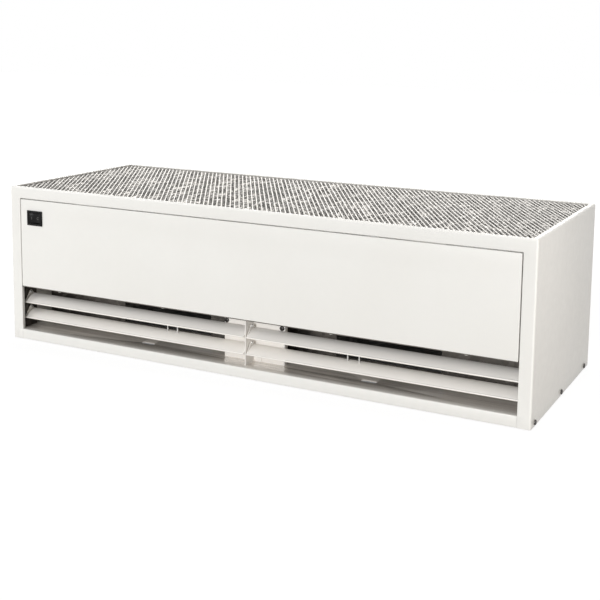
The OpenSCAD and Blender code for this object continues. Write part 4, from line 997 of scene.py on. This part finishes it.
def crumple(layer, number):
    clouds = bpy.data.textures.new(f"crumple{number + 1}", "CLOUDS")
    clouds.noise_scale = foil["size"] * (1 + foil["growth"] * number)
    clouds.noise_depth = 1
    for direction, strength in (("Z", foil["crumple"]), ("X", foil["drift"]), ("Y", foil["drift"])):
        modify(layer, "DISPLACE", texture=clouds, direction=direction, strength=strength * (-1) ** number,
               mid_level=0.5, texture_coords="LOCAL")


layFilter()
print("filter laid")

# recess and arm are the length and width of the cross slot; its floor is at recessFoot, a share of the rise,
# and spin is how many degrees each head is turned on from the one before it
screw = {"head": 0.0040, "rise": 0.0022, "dome": 0.0016, "rim": 0.0002, "shank": 0.0020, "point": 0.0007,
         "recess": 0.0044, "arm": 0.0011, "recessFoot": 0.35, "recessTop": 0.001, "taper": 0.6, "spin": 37}


def turnScrew(grip):  # a pan head with a cross recess, its seat at z = 0
    rise = screw["rise"]
    head = cylinder(32, screw["head"], rise, (0, 0, rise / 2))
    roundEdges(head, lambda a, b: min(a.z, b.z) > rise - near, screw["dome"], 5)
    roundEdges(head, lambda a, b: max(a.z, b.z) < near, screw["rim"], 1)
    foot, top = rise * screw["recessFoot"], rise + screw["recessTop"]
    arms = []
    for sizeX, sizeY in ((screw["recess"], screw["arm"]), (screw["arm"], screw["recess"])):
        arm = block("recessArm", (-sizeX / 2, -sizeY / 2, foot), (sizeX / 2, sizeY / 2, top))
        pick(arm, "points", lambda p: p.z < foot + near)
        bpy.ops.transform.resize(value=(screw["taper"], screw["taper"], 1), center_override=(0, 0, 0))
        bpy.ops.object.mode_set(mode="OBJECT")
        arms.append(arm)
    for arm in arms:
        punch(head, arm)
    shank = cylinder(16, screw["shank"], grip, (0, 0, -grip / 2))
    roundEdges(shank, lambda a, b: max(a.z, b.z) < near - grip, screw["point"], 2)
    return joinUp([head, shank], "screwPattern")


def aimed(direction, place, spin=0):  # turns a head from Z to a direction, and spins it about that
    turn = Vector((0, 0, 1)).rotation_difference(Vector(direction)).to_matrix().to_4x4()
    return Matrix.Translation(place) @ turn @ Matrix.Rotation(math.radians(spin), 4, "Z")


def driveScrews(name, node, grip, seats):
    pattern = turnScrew(grip)
    copies = [copyTo(pattern, aimed(direction, place, screw["spin"] * number % 90))
              for number, (direction, place) in enumerate(seats)]
    bpy.data.objects.remove(pattern)
    mount(joinUp(copies, name), "cabinet", "dark_screw", node)


caseScrews = {"grip": 0.0050, "sideRows": (-0.150, -0.005, 0.140), "footHeight": 0.0055, "rearX": 0.4452,
              "rearHeights": (0.030, 0.130, 0.225), "footRows": (-0.300, 0, 0.300), "footY": 0.1685}
baffleScrews = {"grip": 0.0052, "x": 0.050, "z": 0.0765}


def screwCase():
    width, depth, foot = cabinet["halfWidth"], cabinet["halfDepth"], caseScrews["footHeight"]
    seats = [((side, 0, 0), (side * width, y, foot)) for side in (-1, 1) for y in caseScrews["sideRows"]]
    seats += [((0, 1, 0), (side * caseScrews["rearX"], depth, z))
              for side in (-1, 1) for z in caseScrews["rearHeights"]]
    seats += [((0, 1, 0), (x, caseScrews["footY"], foot)) for x in caseScrews["footRows"]]
    driveScrews("caseScrews", "case_screws", caseScrews["grip"], seats)
    driveScrews("baffleScrews", "baffle_screws", baffleScrews["grip"],
                [((0, -1, 0), (side * baffleScrews["x"], baffle["front"], baffleScrews["z"]))
                 for side in (-1, 1)])


# gap is the play of an ear on its rivet; bracket is the near face of the end bracket
rivet = {"head": 0.00255, "rise": 0.0010, "dome": 0.0008, "stem": 0.0015, "gap": 0.0003, "bracket": 0.4430,
         "bracketSheet": 0.0012}


def setRivets():
    rise = rivet["rise"]
    head = cylinder(24, rivet["head"], rise, (0, 0, rise / 2))
    roundEdges(head, lambda a, b: min(a.z, b.z) > rise - near, rivet["dome"], 4)
    reach = vane["start"] + vane["sheet"] + rivet["gap"]
    inner = vane["end"] - vane["sheet"] - rivet["gap"]
    outer = rivet["bracket"] + rivet["bracketSheet"]
    parts = []
    for z in (vane["upperZ"], vane["lowerZ"]):
        for side in (-1, 1):
            for x, out in ((reach, 1), (inner, -1), (outer, 1)):
                parts.append(copyTo(head, aimed((side * out, 0, 0), (side * x, vane["pivotY"], z))))
        for low, high in ((-outer, -inner), (-reach, reach), (inner, outer)):
            middle = ((low + high) / 2, vane["pivotY"], z)
            parts.append(cylinder(24, rivet["stem"], high - low, middle, alongX))
    bpy.data.objects.remove(head)
    mount(joinUp(parts, "vaneRivets"), "cabinet", "rivet", "vane_pivots")


screwCase()
setRivets()
print("screws and rivets set")
